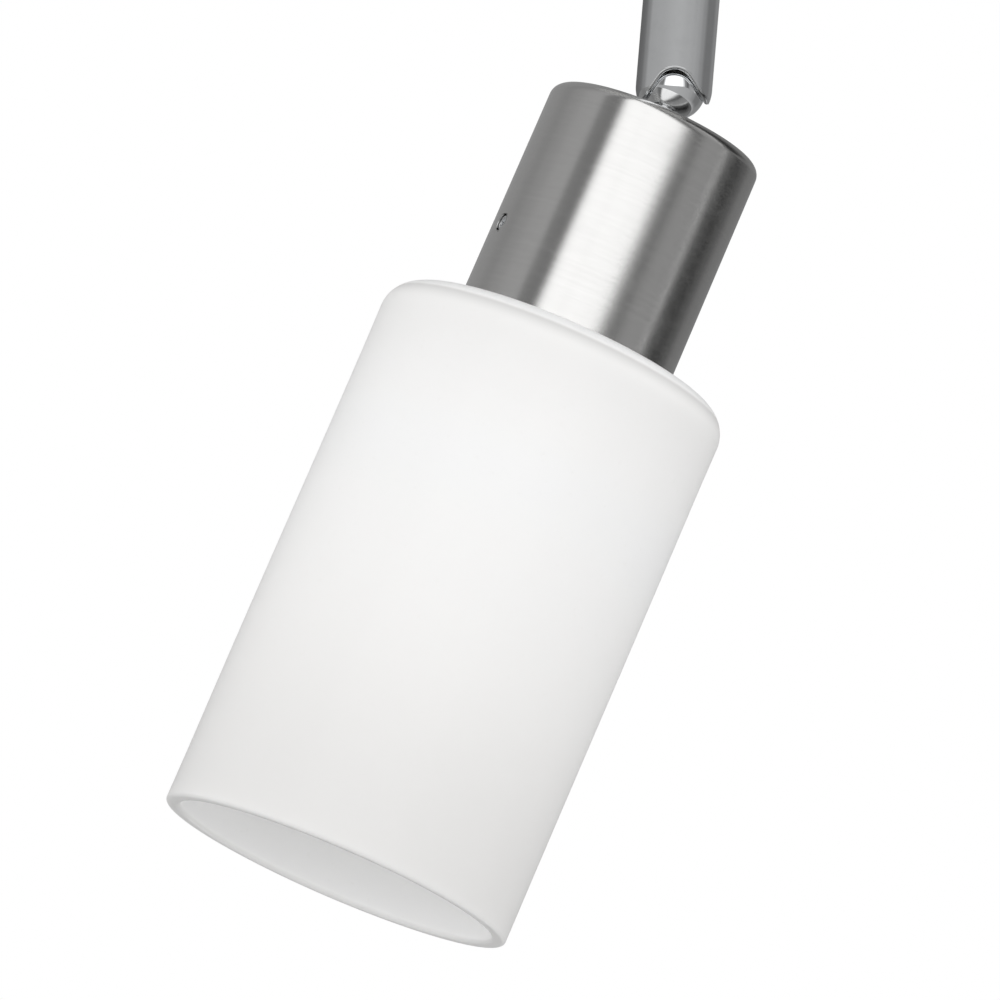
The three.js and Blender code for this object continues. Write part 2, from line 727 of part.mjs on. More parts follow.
add(head, 'shade_gasket', ring(
  skirtRadius + gap, flangeRadius, -shadeTop + gap, -flangeHigh - gap, pipeSides,
), rubber);
add(head, 'glass_shade', glassShade(), opal);
add(head, 'shade_ring', turnedRing(down([
  [skirtRadius + gap, ringTop], [skirtRadius + shadeRing.flange, ringTop],
  [skirtRadius + shadeRing.flange, ringTop + shadeRing.thick],
  [skirtRadius + shadeRing.collar, ringTop + shadeRing.thick + 0.8],
  [skirtRadius + shadeRing.collar, ringTop + shadeRing.height],
  [skirtRadius + gap, ringTop + shadeRing.height],
]), pipeSides), white);

// Bulb: contact tip, insulator, screw cap, housing and globe.
const bulbTip = boreTop + 3;
const housingTop = skirtEnd - 2;
const globeRadius = shadeRadius - shadeWall - globeClearance;
const globeMouth = globeRadius * Math.cos(43 * degrees);
const mouthDrop = housingTop + bulbNeck;
const globeCentre = mouthDrop + Math.sqrt(globeRadius ** 2 - globeMouth ** 2);

function bulbCap() {
  const low = housingTop - gap;
  const ridges = 6;
  const pitch = (low - capTop - 2) / ridges;
  const outer = [];
  for (let i = 0; i <= 2 * ridges; i += 1) {
    outer.push([capRadius - (i % 2 ? 0 : 0.6), capTop + 1 + (i * pitch) / 2]);
  }
  return turnedRing(down([[4.6, capTop], [capRadius - 1, capTop], ...outer, [capRadius - 0.6, low],
    [capRadius - 1.2, low], [capRadius - 1.2, capTop + 1.2], [4.6, capTop + 0.6]]), smallSides);
}

function bulbGlobe() {
  const wall = 1.2;
  const reach = Math.acos(globeMouth / globeRadius) / degrees;
  const inner = Math.acos((globeMouth - wall) / (globeRadius - wall)) / degrees;
  return turned([
    ...arc(0, -globeCentre, globeRadius, -90, reach, 10),
    ...arc(0, -globeCentre, globeRadius - wall, inner, -90, 7),
  ], pipeSides);
}

add(head, 'bulb_tip', turned(down([
  [0, bulbTip], [1.4, bulbTip], [2.2, bulbTip + 0.8], [2.2, bulbTip + 1.4], [0, bulbTip + 1.4],
]), smallSides), brass);
add(head, 'bulb_insulator', turned(down([
  [0, bulbTip + 1.7], [2.6, bulbTip + 1.7], [capRadius - 1, capTop - gap], [0, capTop - gap],
]), smallSides), darkPlastic);
add(head, 'bulb_cap', bulbCap(), nickel);
add(head, 'bulb_housing', turned(down([
  [0, housingTop], [capRadius - 0.5, housingTop], [capRadius + 0.2, housingTop + 2.6],
  [capRadius + 2.6, housingTop + 5.4], [(capRadius + 2.6 + globeMouth) / 2, mouthDrop - 7],
  [globeMouth, mouthDrop - 2], [globeMouth, mouthDrop - gap], [0, mouthDrop - gap],
]), smallSides + 8), white);
add(head, 'bulb_globe', bulbGlobe(), opal);

export default fixture;
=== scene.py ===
import json
import math

import bpy
import numpy as np
from mathutils import Matrix, Vector


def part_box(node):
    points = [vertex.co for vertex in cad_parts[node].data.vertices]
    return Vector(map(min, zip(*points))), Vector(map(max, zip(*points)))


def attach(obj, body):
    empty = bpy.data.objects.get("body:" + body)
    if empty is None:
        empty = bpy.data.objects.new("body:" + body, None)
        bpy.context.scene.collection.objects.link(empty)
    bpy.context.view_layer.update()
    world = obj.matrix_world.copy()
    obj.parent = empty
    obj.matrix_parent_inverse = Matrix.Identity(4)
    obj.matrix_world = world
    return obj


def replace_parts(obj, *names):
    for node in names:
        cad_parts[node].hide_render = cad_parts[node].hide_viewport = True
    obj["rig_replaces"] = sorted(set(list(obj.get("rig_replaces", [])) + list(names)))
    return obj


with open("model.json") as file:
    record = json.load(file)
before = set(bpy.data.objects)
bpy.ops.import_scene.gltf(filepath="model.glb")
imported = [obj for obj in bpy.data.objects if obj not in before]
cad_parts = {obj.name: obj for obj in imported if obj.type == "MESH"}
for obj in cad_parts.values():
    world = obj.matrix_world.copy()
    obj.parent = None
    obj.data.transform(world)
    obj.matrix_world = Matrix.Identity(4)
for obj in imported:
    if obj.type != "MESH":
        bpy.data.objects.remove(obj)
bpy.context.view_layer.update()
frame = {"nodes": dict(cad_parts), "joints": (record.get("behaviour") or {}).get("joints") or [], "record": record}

joints = {joint["name"]: joint for joint in frame["joints"]}
materialRows = {row["slot"]: row for row in frame["record"]["materials"]}
nodeSlots = {row["node"]: row["material_slot"] for row in frame["record"]["subparts"]}
mm = 0.001
tiny = 1e-7

# Where the head hangs: the ball's centre, the way down its axis, and a frame whose Z runs back up it.
ballCentre = Vector(joints["head_tilt"]["pos_m"])
headDown = Vector(joints["head_spin"]["axis"]).normalized()
headSide = -Vector(joints["head_tilt"]["axis"]).normalized()
headTurn = Matrix((headSide, (-headDown).cross(headSide), -headDown)).transposed()
headFrame = Matrix.Translation(ballCentre) @ headTurn.to_4x4()
uprightFrame = Matrix.Identity(4)


def spanOf(node, placed):
    # lowest and highest height and least and greatest radius of a node about a frame's Z axis
    mesh = frame["nodes"][node].data
    points = np.empty(len(mesh.vertices) * 3)
    mesh.vertices.foreach_get("co", points)
    turn = np.array(placed.inverted())
    points = points.reshape(-1, 3) @ turn[:3, :3].T + turn[:3, 3]
    radius = np.hypot(points[:, 0], points[:, 1])
    return points[:, 2].min(), points[:, 2].max(), radius.min(), radius.max()


def metres(shape, *names):
    # a shape's named sizes, from millimetres to metres; a group of sizes comes as a list
    found = (shape[name] for name in names)
    made = [[part * mm for part in size] if isinstance(size, tuple) else size * mm for size in found]
    return made if len(made) > 1 else made[0]


def arc(centre, radius, start, end, steps):
    # points of a circle about centre from one angle in degrees to another
    angle = np.radians(np.linspace(start, end, steps + 1))
    return np.stack([centre[0] + radius * np.cos(angle), centre[1] + radius * np.sin(angle)], 1)


def line(start, end, steps):
    # evenly spaced points from start to end
    share = np.linspace(0, 1, steps + 1)[:, None]
    return np.asarray(start) * (1 - share) + np.asarray(end) * share


def path(*parts):
    # one outline out of several, with points that come twice left out
    joined = np.concatenate([np.atleast_2d(np.asarray(part, float)) for part in parts])
    keep = np.ones(len(joined), bool)
    keep[1:] = np.linalg.norm(np.diff(joined, axis=0), axis=1) > tiny
    return joined[keep]


def gridFaces(rows, around, wrapped):
    # four-sided faces between neighbouring rings of points, and from the last ring to the first if wrapped
    row = np.arange(rows if wrapped else rows - 1)[:, None] * around
    below = (row + around) % (rows * around)
    here = np.arange(around)[None]
    there = (here + 1) % around
    return np.stack([row + here, row + there, below + there, below + here], -1).reshape(-1, 4).tolist()


def turned(profile, around, wrapped, shape=None):
    # a profile of (radius, height) turned about Z: x = r cos a, y = r sin a, z = h for each point and angle
    if wrapped and np.linalg.norm(profile[0] - profile[-1]) < tiny:
        profile = profile[:-1]
    poles = [end for end in (0, -1) if not wrapped and profile[end, 0] < tiny]
    inner = profile[(0 in poles):len(profile) - (-1 in poles)]
    angle = np.linspace(0, 2 * np.pi, around, endpoint=False)
    radius, height = inner[:, :1], np.repeat(inner[:, 1:], around, 1)
    if shape:
        radius, height = shape(np.repeat(radius, around, 1), height, angle)
    points = np.stack([radius * np.cos(angle), radius * np.sin(angle), height], -1).reshape(-1, 3)
    rows = len(inner)
    faces = gridFaces(rows, around, wrapped)
    here = list(range(around))
    there = here[1:] + here[:1]
    for pole in poles:
        edge = 0 if pole == 0 else (rows - 1) * around
        tip = len(points)
        points = np.concatenate([points, [[0, 0, profile[pole, 1]]]])
        ends = zip(there, here) if pole == 0 else zip(here, there)
        faces += [[tip, edge + a, edge + b] for a, b in ends]
    return points, faces


def outward(points, faces):
    # turns every face round where the body's signed volume is negative
    fans = ([face[0], face[k], face[k + 1]] for face in faces for k in range(1, len(face) - 1))
    triangles = np.array(list(fans))
    a, b, c = (points[triangles[:, k]] for k in range(3))
    if np.einsum("ij,ij->i", a, np.cross(b, c)).sum() < 0:
        faces = [face[::-1] for face in faces]
    return faces


def looped(rings):
    # closed rings of equal length stacked into a body with flat ends
    count, around = rings.shape[:2]
    last = (count - 1) * around
    ends = [list(range(around))[::-1], list(range(last, last + around))]
    return rings.reshape(-1, 3), gridFaces(count, around, False) + ends


def roundedRing(halfLength, halfWidth, corner, steps=10):
    # a rectangle with round corners: four quarter circles, the straight sides falling between them
    x, y = halfLength - corner, halfWidth - corner
    centres = ((x, y), (-x, y), (-x, -y), (x, -y))
    quarters = [arc(centre, corner, 90 * k, 90 * k + 90, steps) for k, centre in enumerate(centres)]
    return np.concatenate(quarters)


def roundedBlock(length, width, corner, low, high, lowEdge=0.0, highEdge=0.0, steps=5):
    # the round-cornered rectangle at each level, drawn in by edge (1 - cos t) where an end is rounded over
    sharpest = 0.01 * mm
    bend = np.radians(np.linspace(-90, 0, steps + 1))
    levels, insets = [], []
    for end, edge, way in ((low, lowEdge, 1), (high, highEdge, -1)):
        lift, inset = edge * (1 + np.sin(bend)), edge * (1 - np.cos(bend))
        if edge == 0:
            lift, inset = lift[:1], inset[:1]
        levels.append((end + way * lift)[::way])
        insets.append(inset[::way])
    rings = []
    for level, inset in zip(np.concatenate(levels), np.concatenate(insets)):
        ring = roundedRing(length / 2 - inset, width / 2 - inset, max(corner - inset, sharpest))
        rings.append(np.column_stack([ring, np.full(len(ring), level)]))
    return looped(np.array(rings))


def newPiece(name, surface, placed, material, smooth=True):
    # the surface is moved to its place point by point, so the object itself stays at the origin
    points, faces = surface
    turn = np.array(placed)
    mesh = bpy.data.meshes.new(name)
    mesh.from_pydata((points @ turn[:3, :3].T + turn[:3, 3]).tolist(), [], outward(points, faces))
    mesh.polygons.foreach_set("use_smooth", [smooth] * len(mesh.polygons))
    mesh.materials.append(material)
    piece = bpy.data.objects.new(name, mesh)
    bpy.context.scene.collection.objects.link(piece)
    return piece


def standFor(piece, node, body):
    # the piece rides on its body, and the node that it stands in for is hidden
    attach(piece, body)
    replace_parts(piece, node)
    return piece


def bevelled(piece, width, angle=35, segments=2):
    # edges that turn by more than the angle are rounded, and the shading follows the broad faces
    bevel = piece.modifiers.new("edges", "BEVEL")
    bevel.width, bevel.segments = width, segments
    bevel.limit_method, bevel.angle_limit = "ANGLE", math.radians(angle)
    bevel.harden_normals = False
    normals = piece.modifiers.new("normals", "WEIGHTED_NORMAL")
    normals.keep_sharp = True
    return piece


class Field:
    # a shader socket that can be added, taken away and multiplied
    def __init__(self, paint, socket):
        self.paint, self.socket = paint, socket

    def math(self, operation, *others):
        # one maths node on this field and the others
        return self.paint.node("ShaderNodeMath", {"operation": operation}, dict(enumerate((self, *others))))

    def __add__(self, other):
        return self.math("ADD", other)

    def __sub__(self, other):
        return self.math("SUBTRACT", other)

    def __rsub__(self, other):
        return self.paint.node("ShaderNodeMath", {"operation": "SUBTRACT"}, {0: other, 1: self})

    def __mul__(self, other):
        return self.math("MULTIPLY", other)

    __radd__ = __add__
    __rmul__ = __mul__

    def ramp(self, low, high, start=0.0, end=1.0):
        # a smooth step from start to end as the field goes from low to high
        settings = {"interpolation_type": "SMOOTHSTEP"}
        sockets = {"Value": self, "From Min": low, "From Max": high, "To Min": start, "To Max": end}
        return self.paint.node("ShaderNodeMapRange", settings, sockets)

    def within(self, low, high, soft):
        # one between low and high, nothing outside, with soft edges
        return self.ramp(low - soft, low + soft) * self.ramp(high - soft, high + soft, 1.0, 0.0)


class Paint:
    # the nodes of one material or world
    def __init__(self, owner):
        owner.use_nodes = True
        self.tree = owner.node_tree
        self.tree.nodes.clear()

    def node(self, kind, settings=None, sockets=None, out=0):
        # a node with its settings, its sockets set or fed, and the output that is asked for
        made = self.tree.nodes.new(kind)
        for key, value in (settings or {}).items():
            setattr(made, key, value)
        for key, value in (sockets or {}).items():
            if isinstance(value, Field):
                self.tree.links.new(value.socket, made.inputs[key])
            else:
                made.inputs[key].default_value = value
        return Field(self, made.outputs[out]) if len(made.outputs) else made

    def place(self, placed, stretch=(1, 1, 1)):
        # object coordinates measured in a frame of the piece's own, in millimetres
        here = self.node("ShaderNodeTexCoord", out="Object")
        back = placed.inverted()
        moved = self.node("ShaderNodeMapping", {}, {
            "Vector": here, "Location": tuple(back.translation / mm),
            "Rotation": tuple(back.to_euler()), "Scale": (1 / mm,) * 3,
        })
        return self.node("ShaderNodeVectorMath", {"operation": "MULTIPLY"}, {0: moved, 1: stretch})

    def noise(self, where, scale, detail=3.0, rough=0.55):
        # soft noise between nought and one; scale is in waves for each millimetre
        sockets = {"Vector": where, "Scale": scale, "Detail": detail, "Roughness": rough}
        return self.node("ShaderNodeTexNoise", {"noise_dimensions": "3D"}, sockets)

    def mixed(self, factor, first, second):
        # the first colour where the factor is nought, the second where it is one
        settings = {"data_type": "RGBA", "clamp_factor": True}
        return self.node("ShaderNodeMix", settings, {"Factor": factor, 6: first, 7: second}, out=2)

    def bump(self, height, distance, strength=1.0, under=None):
        # a normal tipped by the slope of height times distance, over another normal if there is one
        sockets = {"Height": height, "Distance": distance, "Strength": strength}
        if under:
            sockets["Normal"] = under
        return self.node("ShaderNodeBump", {}, sockets)

    def finish(self, sockets):
        # the surface shader, wired to the output
        made = self.node("ShaderNodeBsdfPrincipled", {}, sockets)
        self.node("ShaderNodeOutputMaterial", {}, {"Surface": made})


def colour(slot, change=1.0):
    # the record's colour for a material slot, made lighter or darker
    base = materialRows[slot]["base_color"]
    return (base[0] * change, base[1] * change, base[2] * change, 1.0)


def newMaterial(name):
    # an empty material and the paint that fills it
    material = bpy.data.materials.new(name)
    return material, Paint(material)


# Opal glass: a milky body under a satin-etched skin, with faint waves from blowing and a few dull specks.
# Lightness goes by place round the whitest belly: painted shade darkens the foot, the neck, the shoulder and the
# rim, and painted light whitens the inside. The fades are in millimetres, from the top, from the foot and from the
# middle of the wall.
glassLook = {
    "foot": 0.77, "milk": 0.932, "neck": 0.86, "shoulder": 0.58, "inside": 0.99, "rim": 0.72,
    "tint": (1, 0.994, 0.985), "dull": (0.78, 0.77, 0.74, 1), "belly": 0.72, "halfWall": 1.25,
    "shoulderShadeFade": (4.5, 0.2), "rimShadeFade": (0.1, 0.9), "insideLightFade": 0.3, "clouding": 0.04, "specks": 0.12,
    "roughness": 0.34, "depth": 0.0025, "waves": 0.00022, "etch": 0.00001, "coat": 0.12,
    "coatRoughness": 0.06,
}


def opalGlass(name, placed):
    # whitest above the middle; painted shade darkens it towards the mouth, the neck and the shoulder
    # and greys the rim's edge, and painted light whitens the inside
    material, paint = newMaterial(name)
    look = glassLook
    where = paint.place(placed)
    low, high, _, outer = (value / mm for value in spanOf("glass_shade", placed))
    height = paint.node("ShaderNodeSeparateXYZ", {}, {"Vector": where}, "Z")
    flat = paint.node("ShaderNodeVectorMath", {"operation": "MULTIPLY"}, {0: where, 1: (1, 1, 0)})
    radius = paint.node("ShaderNodeVectorMath", {"operation": "LENGTH"}, {0: flat}, "Value")
    cloud = paint.noise(where, 0.05, 2.0).ramp(0.3, 0.75)
    specks = paint.noise(where, 1.1, 2.0, 0.4).ramp(0.66, 0.78) * look["specks"]
    etch = paint.noise(where, 7.0, 2.0)

    def white(part):
        # the glass's warm white at the lightness given for one of its places; all but the milk are painted light
        # or shade
        return tuple(look[part] * share for share in look["tint"]) + (1,)

    middle = low + (high - low) * look["belly"]
    above, below = look["shoulderShadeFade"]
    start, end = look["rimShadeFade"]
    inside, fade = outer - look["halfWall"], look["insideLightFade"]
    # painted shade: darker from the belly down to the foot
    body = paint.mixed(height.ramp(low, middle), white("foot"), white("milk"))
    # painted shade: darker from the belly up to the neck
    body = paint.mixed(height.ramp(middle, high), body, white("neck"))
    # painted shade on the shoulder's top
    body = paint.mixed(height.ramp(high - above, high - below), body, white("shoulder"))
    body = paint.mixed(cloud * look["clouding"], body, white("foot"))
    # painted light: the inner half of the wall is lighter
    body = paint.mixed(radius.ramp(inside - fade, inside + fade, 1.0, 0.0), body, white("inside"))
    # painted shade: the rim's edge is greyer
    body = paint.mixed(height.ramp(low + start, low + end, 1.0, 0.0), body, white("rim"))
    waves = paint.bump(paint.noise(where, 0.03, 1.0), look["waves"])
    paint.finish({
        "Base Color": paint.mixed(specks, body, look["dull"]),
        "Roughness": look["roughness"] + etch * 0.1 + specks,
        "Normal": paint.bump(etch, look["etch"], 1.0, waves),
        "Subsurface Weight": 1.0, "Subsurface Radius": (1.0, 1.0, 1.0), "Subsurface Scale": look["depth"],
        "IOR": 1.5, "Specular IOR Level": 0.45,
        "Coat Weight": look["coat"], "Coat Roughness": look["coatRoughness"], "Coat IOR": 1.5,
    })
    return material


# Satin nickel: rings brushed round the axis, a few deeper turning marks and faint handling smudges.
# Warmth is how much of the record's tint is left in its grey; tones are the dull and the bright of a ring.
nickelLook = {"roughness": 0.11, "warmth": 0.35, "tones": (0.92, 1.1), "rings": 0.000016, "marks": 0.00001}


def brushedNickel(name, placed):
    # noise squeezed across the axis runs round it as rings, fine in the relief and broad in the tone
    material, paint = newMaterial(name)
    look = nickelLook
    rings = paint.noise(paint.place(placed, (0.05, 0.05, 1)), 9.0, 3.0, 0.7)
    bands = paint.noise(paint.place(placed, (0.02, 0.02, 1)), 1.4, 2.0, 0.6)
    smudge = paint.noise(paint.place(placed), 0.12, 3.0, 0.6)
    red, green, blue, _ = colour("brushed_nickel")
    grey = (red + green + blue) / 3
    tint = [grey + (part - grey) * look["warmth"] for part in (red, green, blue)]
    dull, bright = ([part * share for part in tint] + [1.0] for share in look["tones"])
    paint.finish({
        "Base Color": paint.mixed(rings * 0.6 + bands * 0.4, dull, bright),
        "Metallic": 1.0,
        "Roughness": look["roughness"] + rings * 0.1 + smudge.ramp(0.5, 0.75) * 0.05,
        "Normal": paint.bump(rings, look["rings"], 0.7, paint.bump(bands, look["marks"], 0.6)),
    })
    return material


# Polished chrome: a near mirror with polishing haze, hairline scratches and a little orange peel.
chromeLook = {"roughness": 0.035, "tones": (1.06, 0.96), "peel": 0.000006}


def polishedChrome(name, placed):
    # haze is broad noise, and hairs are noise stretched along the axis and cut to its peaks
    material, paint = newMaterial(name)
    look = chromeLook
    where = paint.place(placed)
    haze = paint.noise(where, 0.25, 4.0, 0.6).ramp(0.45, 0.8)
    hairs = paint.noise(paint.place(placed, (1, 1, 0.06)), 5.0, 2.0, 0.8).ramp(0.64, 0.72)
    paint.finish({
        "Base Color": paint.mixed(haze * 0.5, *(colour("chrome", tone) for tone in look["tones"])),
        "Metallic": 1.0,
        "Roughness": look["roughness"] + haze * 0.03 + hairs * 0.06,
        "Normal": paint.bump(paint.noise(where, 0.7, 2.0), look["peel"], 0.5),
    })
    return material


# The plain materials: each slot's grain in millimetres, its relief and roughness, and how its tone varies.
plainLooks = {
    "adapter_plastic": {"grain": 0.45, "relief": 0.00003, "roughness": 0.42, "tone": 0.06},
    "dark_plastic": {"grain": 0.6, "relief": 0.00002, "roughness": 0.38, "tone": 0.25},
    "holder_white": {"grain": 0.9, "relief": 0.000012, "roughness": 0.33, "tone": 0.05},
    "nylon": {"grain": 0.8, "relief": 0.000015, "roughness": 0.48, "tone": 0.07},
    "gasket_rubber": {"grain": 0.5, "relief": 0.00002, "roughness": 0.6, "tone": 0.06},
    "lead_brown": {"grain": 1.5, "relief": 0.00001, "roughness": 0.4, "tone": 0.15},
    "lead_blue": {"grain": 1.5, "relief": 0.00001, "roughness": 0.4, "tone": 0.15},
    "steel": {"grain": 0.35, "relief": 0.00001, "roughness": 0.28, "tone": 0.16, "metal": 1.0},
    "brass": {"grain": 0.5, "relief": 0.00001, "roughness": 0.26, "tone": 0.2, "metal": 1.0},
    "bulb_diffuser": {"grain": 1.2, "relief": 0.000008, "roughness": 0.28, "tone": 0.03, "milky": 0.6},
}
milkyDepth = 0.006


def plainMaterial(slot, placed):
    # moulded grain or stamped metal: fine grain, broad patches of wear and small dull spots
    material, paint = newMaterial(slot)
    look = plainLooks[slot]
    where = paint.place(placed)
    grain = paint.noise(where, 1 / look["grain"], 4.0, 0.65)
    patches = paint.noise(where, 0.09, 3.0, 0.6)
    spots = paint.noise(where, 0.7, 2.0, 0.5).ramp(0.62, 0.75)
    tone = look["tone"]
    base = paint.mixed(patches.ramp(0.3, 0.7), colour(slot, 1 + tone / 2), colour(slot, 1 - tone / 2))
    sockets = {
        "Base Color": paint.mixed(spots * tone, base, colour(slot, 0.7)),
        "Roughness": look["roughness"] + grain * 0.12 + patches * 0.08 - 0.1,
        "Metallic": look.get("metal", 0.0),
        "Normal": paint.bump(grain, look["relief"], 0.8),
    }
    if "milky" in look:
        milk = {"Weight": look["milky"], "Radius": (1, 1, 0.95), "Scale": milkyDepth}
        sockets.update({f"Subsurface {key}": value for key, value in milk.items()})
    paint.finish(sockets)
    return material


print("materials")
finishes = {slot: plainMaterial(slot, uprightFrame) for slot in plainLooks}
finishes["chrome"] = polishedChrome("chrome", uprightFrame)
finishes["brushed_nickel"] = brushedNickel("brushed_nickel", headFrame)
finishes["opal_glass"] = opalGlass("opal_glass", headFrame)
headChrome = polishedChrome("chrome_stem", headFrame)


# The CAD nodes that stay are welded, given a small edge round and shaded smooth.
edgeRounds = {
    "adapter_housing": 0.6, "adapter_cover": 0.5, "lock_turret": 0.3, "lock_knob": 0.4, "terminal_block": 0.3,
    "holder_carrier": 0.3, "stop_ring": 0.15, "arm_nut": 0.25, "bush_nut": 0.25,
}
plainEdge, weldReach = 0.08, 0.002


def softenNode(name, node):
    # the shape stays the CAD's: only its seams close and its edges catch the light
    node.data.materials.clear()
    node.data.materials.append(finishes[nodeSlots[name]])
    node.data.polygons.foreach_set("use_smooth", [True] * len(node.data.polygons))
    weld = node.modifiers.new("weld", "WELD")
    weld.merge_threshold = weldReach * mm
    bevelled(node, edgeRounds.get(name, plainEdge) * mm)


# Glass shade: an open cylinder with a round shoulder, a fire-polished rim and walls that wander a little.
shadeShape = {"wall": 2.5, "shoulder": 5.3, "lip": 0.6, "wander": 0.07, "around": 192}


def glassShade():
    # the outline runs out over the shoulder, down the wall, round the rim and back up the inside
    low, high, hole, radius = spanOf("glass_shade", headFrame)
    wall, shoulder, lip, wander = metres(shadeShape, "wall", "shoulder", "lip", "wander")
    bend, inner = shoulder - wall, radius - wall
    outline = path(
        line((hole, high), (radius - shoulder, high), 3),
        arc((radius - shoulder, high - shoulder), shoulder, 90, 0, 14),
        line((radius, high - shoulder), (radius, low + lip), 30),
        arc((radius - lip, low + lip), lip, 0, -90, 7),
        arc((inner + lip, low + lip), lip, -90, -180, 7),
        line((inner, low + lip), (inner, high - wall - bend), 30),
        arc((inner - bend, high - wall - bend), bend, 0, 90, 10),
        line((inner - bend, high - wall), (hole, high - wall), 3),
    )

    def wandering(r, z, angle):
        # a wave of two lobes and one of three draw the wall in by up to wander, fading out at both ends
        share = (z - low) / (high - low)
        wave = np.sin(2 * angle + 5 * share) * 0.6 + np.sin(3 * angle - 8 * share + 1) * 0.4
        away = np.minimum(1, np.minimum(share * 8, (1 - share) * 8))
        return r + wander * (wave - 1) * away * (r > hole * 1.05), z

    surface = turned(outline, shadeShape["around"], True, wandering)
    piece = newPiece("glassShade", surface, headFrame, finishes["opal_glass"])
    return standFor(piece, "glass_shade", "head")


# Cup: a deep-drawn shell with a tight top corner, a slight flare and a folded lower edge.
cupShape = {
    "wall": 1.0, "corner": 2.0, "flare": 0.15, "fold": 0.32, "stemHole": 2.25, "grubHole": 1.5, "around": 192,
}


def headCup():
    # the outline runs out from the stem's hole, round the corner, down the flared wall and back up the inside
    low, high, _, radius = spanOf("head_cup", headFrame)
    wall, corner, flare, fold, hole = metres(cupShape, "wall", "corner", "flare", "fold", "stemHole")
    top = radius - flare
    outline = path(
        line((hole, high), (top - corner, high), 6),
        arc((top - corner, high - corner), corner, 90, 0, 16),
        line((top, high - corner), (radius, low + fold), 40),
        arc((radius - fold, low + fold), fold, 0, -90, 6),
        line((radius - fold, low), (radius - wall, low), 1),
        line((radius - wall, low), (top - wall, high - corner), 24),
        arc((top - corner, high - corner), corner - wall, 0, 90, 8),
        line((top - corner, high - wall), (hole, high - wall), 4),
    )
    surface = turned(outline, cupShape["around"], True)
    piece = newPiece("headCup", surface, headFrame, finishes["brushed_nickel"])
    for side in ("left", "right"):
        cutGrubHole(piece, f"grub_screw_{side}", radius)
    return standFor(piece, "head_cup", "head")


def middleOf(node):
    # the middle of a node's box
    low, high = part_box(node)
    return (low + high) / 2


def combine(piece, operation, surface, placed=uprightFrame):
    # joins a surface to the piece or takes it out, keeps the result as the piece's mesh and drops the tool
    tool = newPiece("tool", surface, placed, piece.data.materials[0], False)
    boolean = piece.modifiers.new("combine", "BOOLEAN")
    boolean.operation, boolean.object, boolean.solver = operation, tool, "EXACT"
    bpy.context.view_layer.update()
    worked = piece.evaluated_get(bpy.context.evaluated_depsgraph_get())
    result = bpy.data.meshes.new_from_object(worked)
    piece.modifiers.clear()
    piece.data = result
    bpy.data.objects.remove(tool)


def shadedByAngle(piece, angle=32):
    # smooth over gentle bends, sharp over the rest
    piece.data.polygons.foreach_set("use_smooth", [True] * len(piece.data.polygons))
    piece.data.set_sharp_from_angle(angle=math.radians(angle))
    return piece


def drilled(piece, radius, start, end, around=48, placed=uprightFrame):
    # a round hole straight through from one height to another
    combine(piece, "DIFFERENCE", rodSurface(radius, start, end, around), placed)


def atX(x):
    # an upright frame moved along the adapter
    return Matrix.Translation((x, 0, 0))


def rodSurface(radius, low, high, around=48):
    # a plain round bar with flat ends
    return turned(path((0, low), (radius, low), (radius, high), (0, high)), around, False)


def cutGrubHole(piece, screw, radius):
    # a round hole along the screw's own line, out from the head's axis through the wall
    centre = middleOf(screw)
    axisPoint = ballCentre + headDown * (centre - ballCentre).dot(headDown)
    outAlong = (centre - axisPoint).normalized()
    placed = Matrix.Translation(axisPoint) @ outAlong.to_track_quat("Z", "Y").to_matrix().to_4x4()
    drilled(piece, metres(cupShape, "grubHole"), 0.6 * radius, 1.3 * radius, placed=placed)


# Arm: a tube with a domed end, slotted by a fan that is round over the ball and opens downwards. The right
# side opens by a few degrees more, and a rolled rim runs round the slot.
armShape = {"wall": 0.9, "clearance": 0.3, "rim": 0.46, "mouth": 0.4, "rightRelief": 7, "around": 160}


def fanCutter(left, right, half, reach, depth):
    # a round end of radius half whose sides run down at two angles: the outline in X and Z, carried along Y
    feet = []
    for side, turn in ((-1, left), (1, right)):
        cosine, sine = math.cos(turn), math.sin(turn)
        feet.append((side * (half * cosine + reach * sine), half * sine - reach * cosine))
    outline = path(arc((0, 0), half, math.degrees(right), 180 - math.degrees(left), 40), feet)
    count = len(outline)
    layers = [np.stack([outline[:, 0], np.full(count, y), outline[:, 1]], 1) for y in (half, -depth)]
    ring = np.arange(count)
    sides = np.stack([ring, (ring + 1) % count, (ring + 1) % count + count, ring + count], 1).tolist()
    return np.concatenate(layers), sides + [ring.tolist()[::-1], (ring + count).tolist()]


def unit(vectors):
    # each vector at a length of one
    return vectors / np.linalg.norm(vectors, axis=1, keepdims=True)


